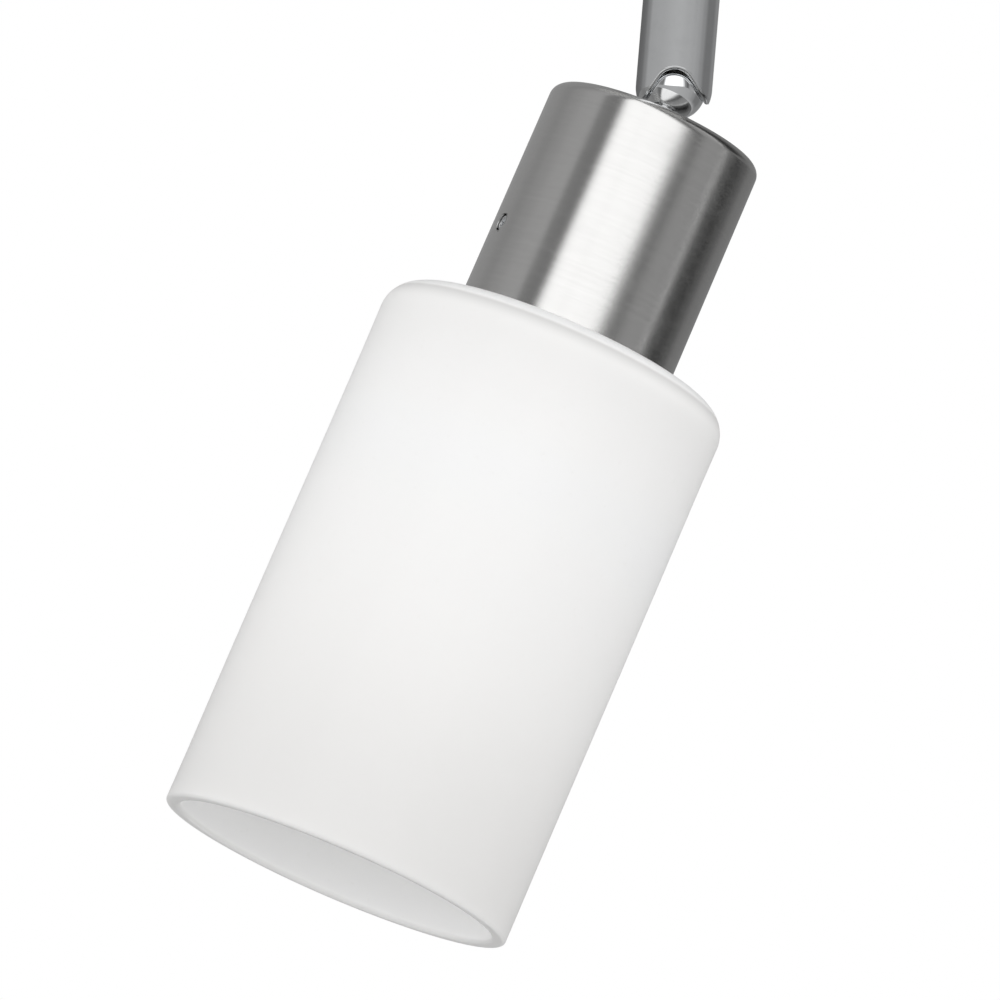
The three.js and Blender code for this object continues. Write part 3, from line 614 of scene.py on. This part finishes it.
def slotRim(left, right, half, middle, thick):
    # a rolled edge: a round section carried along the slot's edge, on the tube above the ball's centre and on
    # the dome below it. Each side lies in a plane, so on the dome it is a circle about that plane's foot
    reach = math.sqrt(middle ** 2 - half ** 2)

    def side(sign, turn):
        # down one side: a stretch of tube wall to the ball's level, then the dome's circle to its back
        foot = np.array([sign * half * math.cos(turn), half * math.sin(turn)])
        way = np.array([sign * math.sin(turn), -math.cos(turn)])
        level = half * math.tan(turn)
        upper = foot + np.linspace(0, level, 12)[:, None] * way
        upper = np.column_stack([upper[:, 0], -np.sqrt(middle ** 2 - upper[:, 0] ** 2), upper[:, 1]])
        swing = np.linspace(math.acos(level / reach), -math.asin(half / reach), 48)
        flat = foot + reach * np.cos(swing)[:, None] * way
        return np.concatenate([upper[:-1], np.column_stack([flat[:, 0], -reach * np.sin(swing), flat[:, 1]])])

    bend = np.linspace(math.pi - left, right, 40)[1:-1]
    x, z = half * np.cos(bend), half * np.sin(bend)
    arch = np.column_stack([x, -np.sqrt(middle ** 2 - x ** 2), z])
    leftSide, rightSide = side(-1, left)[::-1], side(1, right)
    start, end = (math.atan2(point[2], point[0]) for point in (rightSide[-1], leftSide[0]))
    sweep = np.linspace(start, end - (2 * math.pi if end > start else 0), 24)[1:-1]
    back = np.column_stack([reach * np.cos(sweep), np.full(len(sweep), half), reach * np.sin(sweep)])
    route = np.concatenate([leftSide, arch, rightSide, back])
    along = unit(np.roll(route, -1, 0) - np.roll(route, 1, 0))
    away = unit(route * np.where(route[:, 2:] > 0, (1, 1, 0), (1, 1, 1)))
    across = unit(np.cross(along, away))
    turn = np.linspace(0, 2 * math.pi, 16, endpoint=False)[None, :, None]
    rings = route[:, None] + thick * (np.cos(turn) * away[:, None] + np.sin(turn) * across[:, None])
    return rings.reshape(-1, 3), gridFaces(*rings.shape[:2], True)


def armTube():
    # a shell of tube and dome, cut by the fan; the slot is wider than the stem by a clearance all round
    _, high, _, radius = spanOf("arm_tube", uprightFrame)
    wall, mouth, rim = metres(armShape, "wall", "mouth", "rim")
    bore, ball = radius - wall, ballCentre.z
    shell = turned(path(
        arc((0, ball), radius, -90, 0, 28), line((radius, ball), (radius, high - mouth), 40),
        line((radius - mouth, high), (bore, high), 2), line((bore, high), (bore, ball), 40),
        arc((0, ball), bore, 0, -90, 28),
    ), armShape["around"], False)
    piece = newPiece("armTube", shell, uprightFrame, finishes["chrome"])
    lean = joints["head_lean"]["range_deg"]
    spread = math.radians((lean[1] - lean[0]) / 2)
    relief = spread + math.radians(armShape["rightRelief"])
    half = (stemShape["stem"] + armShape["clearance"] + armShape["rim"]) * mm
    here = Matrix.Translation(ballCentre)
    combine(piece, "DIFFERENCE", fanCutter(spread, relief, half, 3 * radius, 2 * radius), here)
    rolled = slotRim(spread, relief, half, (radius + bore) / 2, rim)
    edge = newPiece("armSlotRim", rolled, here, finishes["chrome"])
    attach(edge, "arm")
    return standFor(shadedByAngle(piece), "arm_tube", "arm")


# Ball and stem: one turned piece, hollow for the leads, with a groove under the ball.
stemShape = {
    "ball": 5.3, "stem": 2.6, "hole": 1.2, "nipple": 1.95, "shoulder": 7.0, "groove": 0.35, "round": 0.3,
    "chamfer": 0.2, "edge": 0.06, "around": 96,
}


def ballStem():
    # up the nipple, the stem and the groove's waist, then over the ball to the hole: angle = acos(r / ball)
    low = spanOf("ball_stem", headFrame)[0]
    ball, stem, hole, nipple, shoulder = metres(stemShape, "ball", "stem", "hole", "nipple", "shoulder")
    groove, corner, chamfer, edge = metres(stemShape, "groove", "round", "chamfer", "edge")
    waist = stem - groove
    start = math.degrees(math.asin(waist / ball)) - 90
    end = math.degrees(math.acos(hole / ball))
    neck = ball * math.sin(math.radians(start)) - groove
    outline = path(
        line((hole, low), (nipple - chamfer, low), 1), line((nipple, low + chamfer), (nipple, -shoulder), 6),
        line((stem, -shoulder), (stem, neck - corner), 4),
        arc((stem - corner, neck - corner), corner, 0, 90, 6),
        (waist, neck), arc((0, 0), ball, start, end, 56),
        line((hole, ball * math.sin(math.radians(end))), (hole, low), 4),
    )
    piece = newPiece("ballStem", turned(outline, stemShape["around"], True), headFrame, headChrome)
    bevelled(piece, edge, 40)
    return standFor(piece, "ball_stem", "stem")


# Swivel bush: the chromed collar that the arm turns in.
bushShape = {"neck": 1.6, "round": 1.3, "lip": 0.5, "dish": 0.35, "gap": 0.3, "around": 128}


def swivelBush():
    # a dished collar with a rounded lip and rim, and a plain neck that goes up through the cover
    low, high, bore, rim = spanOf("swivel_bush", uprightFrame)
    neckWall, bend, lip, dish, gap = metres(bushShape, "neck", "round", "lip", "dish", "gap")
    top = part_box("adapter_cover")[0][2] - gap
    neck = bore + neckWall
    outline = path(
        arc((bore + lip, low + lip), lip, 180, 270, 6),
        line((bore + 2 * lip, low + dish), (rim - bend - lip, low + dish), 3),
        arc((rim - bend, low + bend), bend, -90, 0, 10),
        arc((rim - lip / 2, top - lip / 2), lip / 2, 0, 90, 4),
        line((neck, top), (neck, high), 3), line((bore, high), (bore, low + lip), 6),
    )
    surface = turned(outline, bushShape["around"], True)
    piece = newPiece("swivelBush", surface, uprightFrame, finishes["chrome"])
    return standFor(shadedByAngle(piece), "swivel_bush", "adapter")


# Adapter housing and cover: moulded shells with rounded edges, a locating rib and screw posts. The rib is
# (length, width, corner, height), the clip's slot (length, corner, inset) and a sink (radius, depth).
adapterShape = {
    "wall": 2.4, "corner": 4.0, "edge": 0.9, "seam": 0.2, "innerEdge": 0.5, "post": 3.2, "screwHole": 1.7,
    "screwDepth": 12.0, "gap": 0.3, "rib": (20, 9, 2, 6.5), "ribEdge": 0.7, "clipSlot": (1.4, 0.4, 0.4),
    "turretHole": 8.3, "shaftHole": 5.3, "bushHole": 8.3, "sink": (3.0, 1.4), "through": 9.0, "clear": 2.0,
    "cover": 2.4, "peg": 1.1, "pegInset": 0.4, "pegRoot": 1.0, "around": 72,
}


def postPlaces():
    # the two screw posts stand over the cover's screws
    return [atX(middleOf(f"cover_screw_{side}").x) for side in ("left", "right")]


def adapterHousing():
    # a box hollowed from below, with two drilled posts, a rib for the track and holes for turret and clip
    low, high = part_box("adapter_housing")
    length, width, bottom = high[0] - low[0], high[1] - low[1], low[2]
    wall, corner, edge, seam, innerEdge = metres(adapterShape, "wall", "corner", "edge", "seam", "innerEdge")
    post, screwHole, screwDepth = metres(adapterShape, "post", "screwHole", "screwDepth")
    gap, ribEdge, turretHole = metres(adapterShape, "gap", "ribEdge", "turretHole")
    around = adapterShape["around"]
    shell = roundedBlock(length, width, corner, bottom, 0, seam, edge)
    piece = newPiece("adapterHousing", shell, uprightFrame, finishes["adapter_plastic"])
    size = (length - 2 * wall, width - 2 * wall, corner - wall / 2)
    combine(piece, "DIFFERENCE", roundedBlock(*size, bottom - wall, -wall, 0, innerEdge))
    for place in postPlaces():
        combine(piece, "UNION", rodSurface(post, bottom, -wall / 2, around), place)
        drilled(piece, screwHole, bottom - wall, bottom + screwDepth, placed=place)
    turretX = joints["lock_turn"]["pos_m"][0]
    ribLength, ribWidth, ribCorner, ribHeight = metres(adapterShape, "rib")
    rib = roundedBlock(ribLength, ribWidth, ribCorner, -wall / 2, ribHeight, 0, ribEdge)
    combine(piece, "UNION", rib, atX(-turretX))
    drilled(piece, turretHole, -2 * wall, wall, around, atX(turretX))
    clipLow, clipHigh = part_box("earth_clip")
    slotLength, slotCorner, slotInset = metres(adapterShape, "clipSlot")
    slot = roundedBlock(slotLength, clipHigh[1] - clipLow[1] + 2 * gap, slotCorner, -2 * wall, wall)
    combine(piece, "DIFFERENCE", slot, atX(clipLow[0] + slotInset))
    return standFor(shadedByAngle(piece), "adapter_housing", "adapter")


def adapterCover():
    # a plate with the swivel's stop peg, holes for bush and knob, and sunk screw holes
    low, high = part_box("adapter_cover")
    corner, edge, seam, thick = metres(adapterShape, "corner", "edge", "seam", "cover")
    bottom, top = low[2], low[2] + thick
    plate = roundedBlock(high[0] - low[0], high[1] - low[1], corner, bottom, top, edge, seam)
    piece = newPiece("adapterCover", plate, uprightFrame, finishes["adapter_plastic"])
    peg, pegInset, pegRoot = metres(adapterShape, "peg", "pegInset", "pegRoot")
    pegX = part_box("stop_ring")[1][0] - pegInset
    combine(piece, "UNION", rodSurface(peg, top - pegRoot, high[2], 32), atX(-pegX))
    bushHole, shaftHole, screwHole = metres(adapterShape, "bushHole", "shaftHole", "screwHole")
    through, clear = metres(adapterShape, "through", "clear")
    sinkRadius, sinkDepth = metres(adapterShape, "sink")
    holes = [(bushHole, 0, through), (shaftHole, joints["lock_turn"]["pos_m"][0], through)]
    for place in postPlaces():
        x = place.translation.x
        holes += [(screwHole, x, through), (sinkRadius, x, sinkDepth)]
    for radius, x, depth in holes:
        drilled(piece, radius, bottom - clear, bottom + depth, adapterShape["around"], atX(x))
    return standFor(shadedByAngle(piece), "adapter_cover", "adapter")


# Slotted screws: a turned head and shank with a driver slot. Flat and shank are shares of the head's radius.
screwShape = {
    "flat": 0.3, "shank": 0.52, "dome": 0.06, "crown": 0.35, "head": 0.9, "point": 0.8, "slot": 0.6,
    "slotDepth": 0.55, "slotCorner": 0.02, "clear": 1.0, "around": 64,
}


def slottedScrew(node, body):
    # the head is the widest part and faces down; the shank runs up from it to a blunt point
    centre = middleOf(node)
    placed = Matrix.Translation((centre.x, centre.y, 0))
    low, high, _, radius = spanOf(node, placed)
    dome, crown, head, point = metres(screwShape, "dome", "crown", "head", "point")
    slotWidth, slotDepth, slotCorner, clear = metres(screwShape, "slot", "slotDepth", "slotCorner", "clear")
    flat, shank = radius * screwShape["flat"], radius * screwShape["shank"]
    outline = path(
        (0, low), line((flat, low), (radius - crown, low + dome), 3),
        arc((radius - crown, low + crown), crown, -80, 0, 6), (radius, low + head), (shank, low + head),
        line((shank, low + head), (shank, high - point), 8), (0, high),
    )
    surface = turned(outline, screwShape["around"], False)
    piece = newPiece(f"{node}Turned", surface, placed, finishes["steel"])
    slot = roundedBlock(4 * radius, slotWidth, slotCorner, low - clear, low + slotDepth)
    combine(piece, "DIFFERENCE", slot, placed)
    return standFor(shadedByAngle(piece), node, body)


# Turning lock: a round turret with a crossbar for the contacts, and the knob that turns it. The bar is
# (width, length, corner, low, high), a pocket (width, bite, foot) and the wing (width, length, corner, drop).
lockShape = {
    "neck": 8.0, "flange": 10.0, "shaft": 5.0, "spigot": 3.6, "post": 4.2, "neckTop": 1.6, "neckRound": 0.3,
    "bar": (8.6, 22, 1.5, 2.4, 8.6), "barEdges": (0.4, 0.6), "barBite": 0.5, "pocket": (5.8, 2.0, 1.2),
    "pocketCorner": 0.2, "screwHole": 1.5, "screwDepth": 7.0, "clear": 1.0, "knob": 8.6, "knobRound": 1.2,
    "knobEdge": 0.4, "knobFloor": 2.4, "knobGap": 0.3, "wing": (5.4, 23, 2.4, 1.5), "wingEdges": (0.8, 0.4),
    "knurls": 36, "knurl": 0.22, "sink": (2.7, 1.2), "around": 96,
}


def lockTurret():
    # spigot, shaft, flange and neck turned in one, then the crossbar joined on and its contact pockets cut
    placed = atX(joints["lock_turn"]["pos_m"][0])
    neck, flange, shaft, spigot, post = metres(lockShape, "neck", "flange", "shaft", "spigot", "post")
    neckTop, neckRound, barBite = metres(lockShape, "neckTop", "neckRound", "barBite")
    barWidth, barLength, barCorner, barLow, barHigh = metres(lockShape, "bar")
    low = spanOf("lock_turret", placed)[0]
    under = -sum(metres(adapterShape, "wall", "gap"))
    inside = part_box("adapter_housing")[0][2]
    knobTop = spanOf("lock_knob", placed)[1]
    outline = path(
        (0, low), (spigot, low), (spigot, knobTop), (shaft, knobTop), (shaft, inside), (flange, inside),
        (flange, under), (neck, under), (neck, neckTop - neckRound),
        arc((neck - neckRound, neckTop - neckRound), neckRound, 0, 90, 4),
        (post, neckTop), (post, barHigh - barBite), (0, barHigh - barBite),
    )
    surface = turned(outline, lockShape["around"], False)
    piece = newPiece("lockTurret", surface, placed, finishes["dark_plastic"])
    bar = roundedBlock(barWidth, barLength, barCorner, barLow, barHigh, *metres(lockShape, "barEdges"))
    combine(piece, "UNION", bar, placed)
    pocketWidth, bite, foot = metres(lockShape, "pocket")
    pocketCorner, hole, depth, clear = metres(lockShape, "pocketCorner", "screwHole", "screwDepth", "clear")
    for side in (-1, 1):
        pocket = roundedBlock(pocketWidth, 2 * bite, pocketCorner, barLow + foot, barHigh + bite)
        combine(piece, "DIFFERENCE", pocket, placed @ Matrix.Translation((0, side * barLength / 2, 0)))
    drilled(piece, hole, low - clear, low + depth, 32, placed)
    return standFor(shadedByAngle(piece), "lock_turret", "lock")


def lockKnob():
    # a knurled disc with a rounded rim and a finger wing across it, hollow for the spigot and the screw
    placed = atX(joints["lock_turn"]["pos_m"][0])
    low, high, _, _ = spanOf("lock_knob", placed)
    disc, bend, edge, gap, knurl = metres(lockShape, "knob", "knobRound", "knobEdge", "knobGap", "knurl")

    def knurled(r, z, angle):
        # the rim dips by knurl (0.5 - 0.5 cos(n a)) between grips, only on the outermost wall
        dip = knurl * (0.5 - 0.5 * np.cos(lockShape["knurls"] * angle))
        return np.where(r > disc - gap, r - dip, r), z

    outline = path(
        (0, low), line((0.5 * disc, low), (disc - bend, low), 2),
        arc((disc - bend, low + bend), bend, -90, 0, 8),
        line((disc, low + bend), (disc, high - edge), 6), (disc - edge, high), (0, high),
    )
    surface = turned(outline, lockShape["knurls"] * 8, False, knurled)
    piece = newPiece("lockKnob", surface, placed, finishes["adapter_plastic"])
    wingWidth, wingLength, wingCorner, wingDrop = metres(lockShape, "wing")
    wingEdges = metres(lockShape, "wingEdges")
    wing = roundedBlock(wingWidth, wingLength, wingCorner, low, high - wingDrop, *wingEdges)
    combine(piece, "UNION", wing, placed)
    spigot, floor, hole, clear = metres(lockShape, "spigot", "knobFloor", "screwHole", "clear")
    sinkRadius, sinkDepth = metres(lockShape, "sink")
    drilled(piece, spigot + gap, low + floor - gap, high + clear, 64, placed)
    drilled(piece, hole, low - clear, high, 64, placed)
    drilled(piece, sinkRadius, low - clear, low + sinkDepth, 64, placed)
    return standFor(shadedByAngle(piece), "lock_knob", "lock")


# Inside the shade: the holder's knurled ring, and the bulb.
innerShape = {
    "ringKnurls": 48, "ringKnurl": 0.3, "collar": 2.0, "ringEdge": 0.3, "ringFoot": 0.4, "ringFlange": 1.8,
    "ringStep": 2.6, "ringPlain": 3.0, "nudge": 0.2, "capPitch": 2.8, "capThread": 0.55, "capWall": 0.6,
    "capBend": 0.8, "capRoot": 1.2, "capPlain": 1.0, "tuck": 0.5, "globeWall": 1.2, "around": 144,
}


def shadeRing():
    # a flange on a knurled collar, with a small slope between them and eased edges
    low, high, bore, rim = spanOf("shade_ring", headFrame)
    knurl, inset, edge, foot = metres(innerShape, "ringKnurl", "collar", "ringEdge", "ringFoot")
    flange, step, plain, nudge = metres(innerShape, "ringFlange", "ringStep", "ringPlain", "nudge")
    collar = rim - inset

    def knurled(r, z, angle):
        # the collar dips by knurl (0.5 - 0.5 cos(n a)) between grips, below its plain band
        grip = knurl * (0.5 - 0.5 * np.cos(innerShape["ringKnurls"] * angle)) * (z < high - plain)
        return np.where(r > collar - nudge, r - grip, r), z

    outline = path(
        (bore, high), (rim - edge, high),
        arc((rim - edge, high - edge), edge, 90, 0, 4), (rim, high - flange),
        line((rim - edge, high - flange - edge), (collar, high - step), 2),
        line((collar, high - step - nudge / 2), (collar, low + foot), 8),
        (collar - foot, low), (bore + edge, low), (bore, low + edge),
        line((bore, low + edge + nudge), (bore, high - nudge), 6),
    )
    surface = turned(outline, innerShape["ringKnurls"] * 6, True, knurled)
    piece = newPiece("shadeRing", surface, headFrame, finishes["holder_white"])
    return standFor(shadedByAngle(piece), "shade_ring", "head")


def bulbCap():
    # a thin shell with a rounded top, its wall rolled into a right-handed screw thread
    low, high, bore, rim = spanOf("bulb_cap", headFrame)
    thread, pitch, wall, bend = metres(innerShape, "capThread", "capPitch", "capWall", "capBend")
    root, plain, nudge = metres(innerShape, "capRoot", "capPlain", "nudge")

    def threaded(r, z, angle):
        # a helix dips the wall by thread (0.5 - 0.5 cos(a - 2 pi z / pitch)), fading out near both ends
        ends = np.clip(np.minimum(high - root - z, z - low - plain) / mm, 0, 1)
        wave = 0.5 - 0.5 * np.cos(angle - 2 * np.pi * z / pitch)
        return np.where(r > rim - plain, r - thread * wave * ends, r), z

    outline = path(
        (bore, high), (rim - 2 * bend, high), arc((rim - bend, high - bend), bend, 90, 0, 6),
        line((rim, high - plain), (rim, low), 90), (rim - root, low),
        line((rim - root, low + nudge), (rim - root, high - root - nudge), 4), (bore, high - wall),
    )
    surface = turned(outline, innerShape["around"], True, threaded)
    piece = newPiece("bulbCap", surface, headFrame, finishes["brushed_nickel"])
    return standFor(shadedByAngle(piece, 50), "bulb_cap", "head")


def bulbHousing():
    # a throat that opens in an S-curve to the globe's mouth: r = start + (mouth - start) (3 t^2 - 2 t^3)
    low, high, _, mouth = spanOf("bulb_housing", headFrame)
    start = spanOf("bulb_cap", headFrame)[3] - metres(innerShape, "tuck")
    edge, shoulder = metres(innerShape, "nudge", "ringEdge")
    share = np.linspace(0, 1, 40)
    swell = np.clip((share - 0.08) / 0.8, 0, 1)
    radius = start + (mouth - start) * (3 * swell ** 2 - 2 * swell ** 3)
    wall = np.stack([radius, high - edge - share * (high - low - 2 * edge)], 1)
    outline = path((0, high), (start - shoulder, high), wall, (mouth - edge, low), (0, low))
    surface = turned(outline, innerShape["around"], False)
    piece = newPiece("bulbHousing", surface, headFrame, finishes["holder_white"])
    return standFor(shadedByAngle(piece), "bulb_housing", "head")


def bulbGlobe():
    # two arcs about one centre, the outside up from the pole to the mouth and the inside back down
    low, high, _, radius = spanOf("bulb_globe", headFrame)
    inside, centre = radius - metres(innerShape, "globeWall"), low + radius
    outerEnd, innerEnd = (math.degrees(math.asin((high - centre) / size)) for size in (radius, inside))
    outline = path(arc((0, centre), radius, -90, outerEnd, 60), arc((0, centre), inside, innerEnd, -90, 40))
    surface = turned(outline, innerShape["around"], False)
    piece = newPiece("bulbGlobe", surface, headFrame, finishes["bulb_diffuser"])
    return standFor(shadedByAngle(piece), "bulb_globe", "head")


print("pieces")
madePieces = [
    glassShade(), headCup(), armTube(), ballStem(), swivelBush(), adapterHousing(), adapterCover(),
    lockTurret(), lockKnob(), shadeRing(), bulbCap(), bulbHousing(), bulbGlobe(),
    slottedScrew("cover_screw_left", "adapter"), slottedScrew("cover_screw_right", "adapter"),
    slottedScrew("knob_screw", "lock"),
]
replaced = {name for piece in madePieces for name in piece["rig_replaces"]}
for name, node in frame["nodes"].items():
    if name not in replaced:
        softenNode(name, node)


# The studio: a pale floor far below, a white room for matt surfaces and soft panels for shiny ones.
# Bands are (degrees to the right of the camera, brightness). The cup mirrors one ring of directions round its
# own axis and takes the first row there and overhead; whatever stands level mirrors the second row.
studio = {
    "floorDrop": 4.0, "floorSize": 120.0, "floorTone": (0.9, 0.9, 0.9, 1), "backdrop": 1.0,
    "room": 1.27, "front": 0.30, "top": -0.58, "below": 0.52,
    "cupBands": (
        (-180, 0.33), (-138, 0.34), (-120, 0.31), (-104, 0.36), (-84, 0.42), (-67, 0.44), (-59, 0.25),
        (-42, 0.20), (-29.5, 1.50), (-12, 1.50), (-9, 1.38), (-6, 1.50), (28, 1.46), (35, 0.82), (41, 0.28),
        (50, 0.13), (60, 0.34), (70, 0.38), (76, 0.37), (84, 0.72), (88, 0.10), (106, 0.01), (120, 0.10),
        (136, 0.22), (180, 0.24),
    ),
    "levelBands": (
        (-180, 0.12), (-140, 0.14), (-125, 0.16), (-106, 0.25), (-90, 0.374), (-60, 0.395), (0, 0.455),
        (30, 0.42), (53, 0.39), (66, 0.35), (81, 0.28), (97, 0.185), (120, 0.185), (140, 0.25), (180, 0.25),
    ),
    "cupRing": (-0.197, 0.035, 0.06), "overhead": (4.5, 8.0), "levelLine": (2.1, 0.7, 0.3),
    "floorGlow": (-28, -60, 0.95),
}


def bandRow(across, bands):
    # a run of smooth steps: each band takes over from the one before it as the direction reaches it
    row = across * 0 + bands[0][1]
    for (start, before), (end, after) in zip(bands, bands[1:]):
        if after != before:
            row = row + across.ramp(start, end, 0.0, after - before)
    return row


def studioWorld():
    # what the sky shows depends on who asks: the camera sees the plain backdrop, matt surfaces a white room
    # and shiny ones the panels
    world = bpy.data.worlds.new("studio")
    bpy.context.scene.world = world
    paint = Paint(world)
    way = paint.node("ShaderNodeTexCoord", out="Generated")
    split = paint.node("ShaderNodeSeparateXYZ", {}, {"Vector": way})
    parts = [Field(paint, split.socket.node.outputs[k]) for k in range(3)]
    forward = parts[1] * -1.0
    above = parts[2].math("ARCSINE") * (180 / math.pi)
    across = parts[0].math("ARCTAN2", forward) * (180 / math.pi)
    # matt surfaces see a white room, brightest in front and dimmer overhead and underneath
    up, down = parts[2].math("MAXIMUM", 0.0), parts[2].math("MINIMUM", 0.0)
    room = forward * studio["front"] + up * studio["top"] + down * studio["below"] + studio["room"]
    # how far along the head's axis the direction points: one value all round the ring that the cup mirrors
    dot = {"operation": "DOT_PRODUCT"}
    along = paint.node("ShaderNodeVectorMath", dot, {0: way, 1: tuple(headDown)}, "Value")
    middle, near, far = studio["cupRing"]
    ring = (along - middle).math("ABSOLUTE").ramp(near, far, 1.0, 0.0)
    height, half, soft = studio["levelLine"]
    ring = ring * (1 - above.within(height - half, height + half, soft))
    raised = ring.math("MAXIMUM", above.ramp(*studio["overhead"]))
    level, cup = bandRow(across, studio["levelBands"]), bandRow(across, studio["cupBands"])
    panels = level * (1 - raised) + cup * raised
    start, end, glow = studio["floorGlow"]
    under = (above * -1.0).ramp(-start, -end) * (1 - ring)
    panels = panels * (1 - under) + under * glow
    rays = paint.node("ShaderNodeLightPath").socket.node.outputs
    camera, glossy = Field(paint, rays["Is Camera Ray"]), Field(paint, rays["Is Glossy Ray"])
    light = room * (1 - glossy) + panels * glossy
    light = light * (1 - camera) + camera * studio["backdrop"]
    background = paint.node("ShaderNodeBackground", {}, {"Color": (1, 1, 1, 1), "Strength": light})
    paint.node("ShaderNodeOutputWorld", {}, {"Surface": background})


def studioFloor():
    # one pale square; mirrors look past it, so that the panels alone make the highlights
    size, drop = studio["floorSize"], studio["floorDrop"]
    mesh = bpy.data.meshes.new("floor")
    corners = [(-size, -size, -drop), (size, -size, -drop), (size, size, -drop), (-size, size, -drop)]
    mesh.from_pydata(corners, [], [(0, 1, 2, 3)])
    material, paint = newMaterial("paleFloor")
    paint.finish({"Base Color": studio["floorTone"], "Roughness": 0.9, "Specular IOR Level": 0.1})
    mesh.materials.append(material)
    floor = bpy.data.objects.new("floor", mesh)
    bpy.context.scene.collection.objects.link(floor)
    floor.visible_glossy = False


# Camera: level with the head, square to the arm and rolled until the arm leans to the right. In metres, it
# aims so far to the left of the ball's centre and so far below it.
view = {
    "distance": 2.0, "field": 0.1646, "roll": 4.75, "left": 0.02864, "below": 0.0678, "sensor": 36.0,
    "near": 0.05, "far": 50,
}


def studioCamera():
    # the lens follows from the field's width at the aim: lens = sensor distance / field
    roll = math.radians(view["roll"])
    right = Vector((math.cos(roll), 0, math.sin(roll)))
    up = Vector((-math.sin(roll), 0, math.cos(roll)))
    back = Vector((0, -1, 0))
    aim = ballCentre - right * view["left"] - up * view["below"]
    data = bpy.data.cameras.new("camera")
    data.sensor_width = view["sensor"]
    data.lens = view["sensor"] * view["distance"] / view["field"]
    data.clip_start, data.clip_end = view["near"], view["far"]
    camera = bpy.data.objects.new("camera", data)
    turn = Matrix((right, up, back)).transposed().to_4x4()
    camera.matrix_world = Matrix.Translation(aim + back * view["distance"]) @ turn
    bpy.context.scene.collection.objects.link(camera)
    bpy.context.scene.camera = camera


print("studio")
studioWorld()
studioFloor()
studioCamera()
bpy.context.scene.view_settings.view_transform = "Standard"
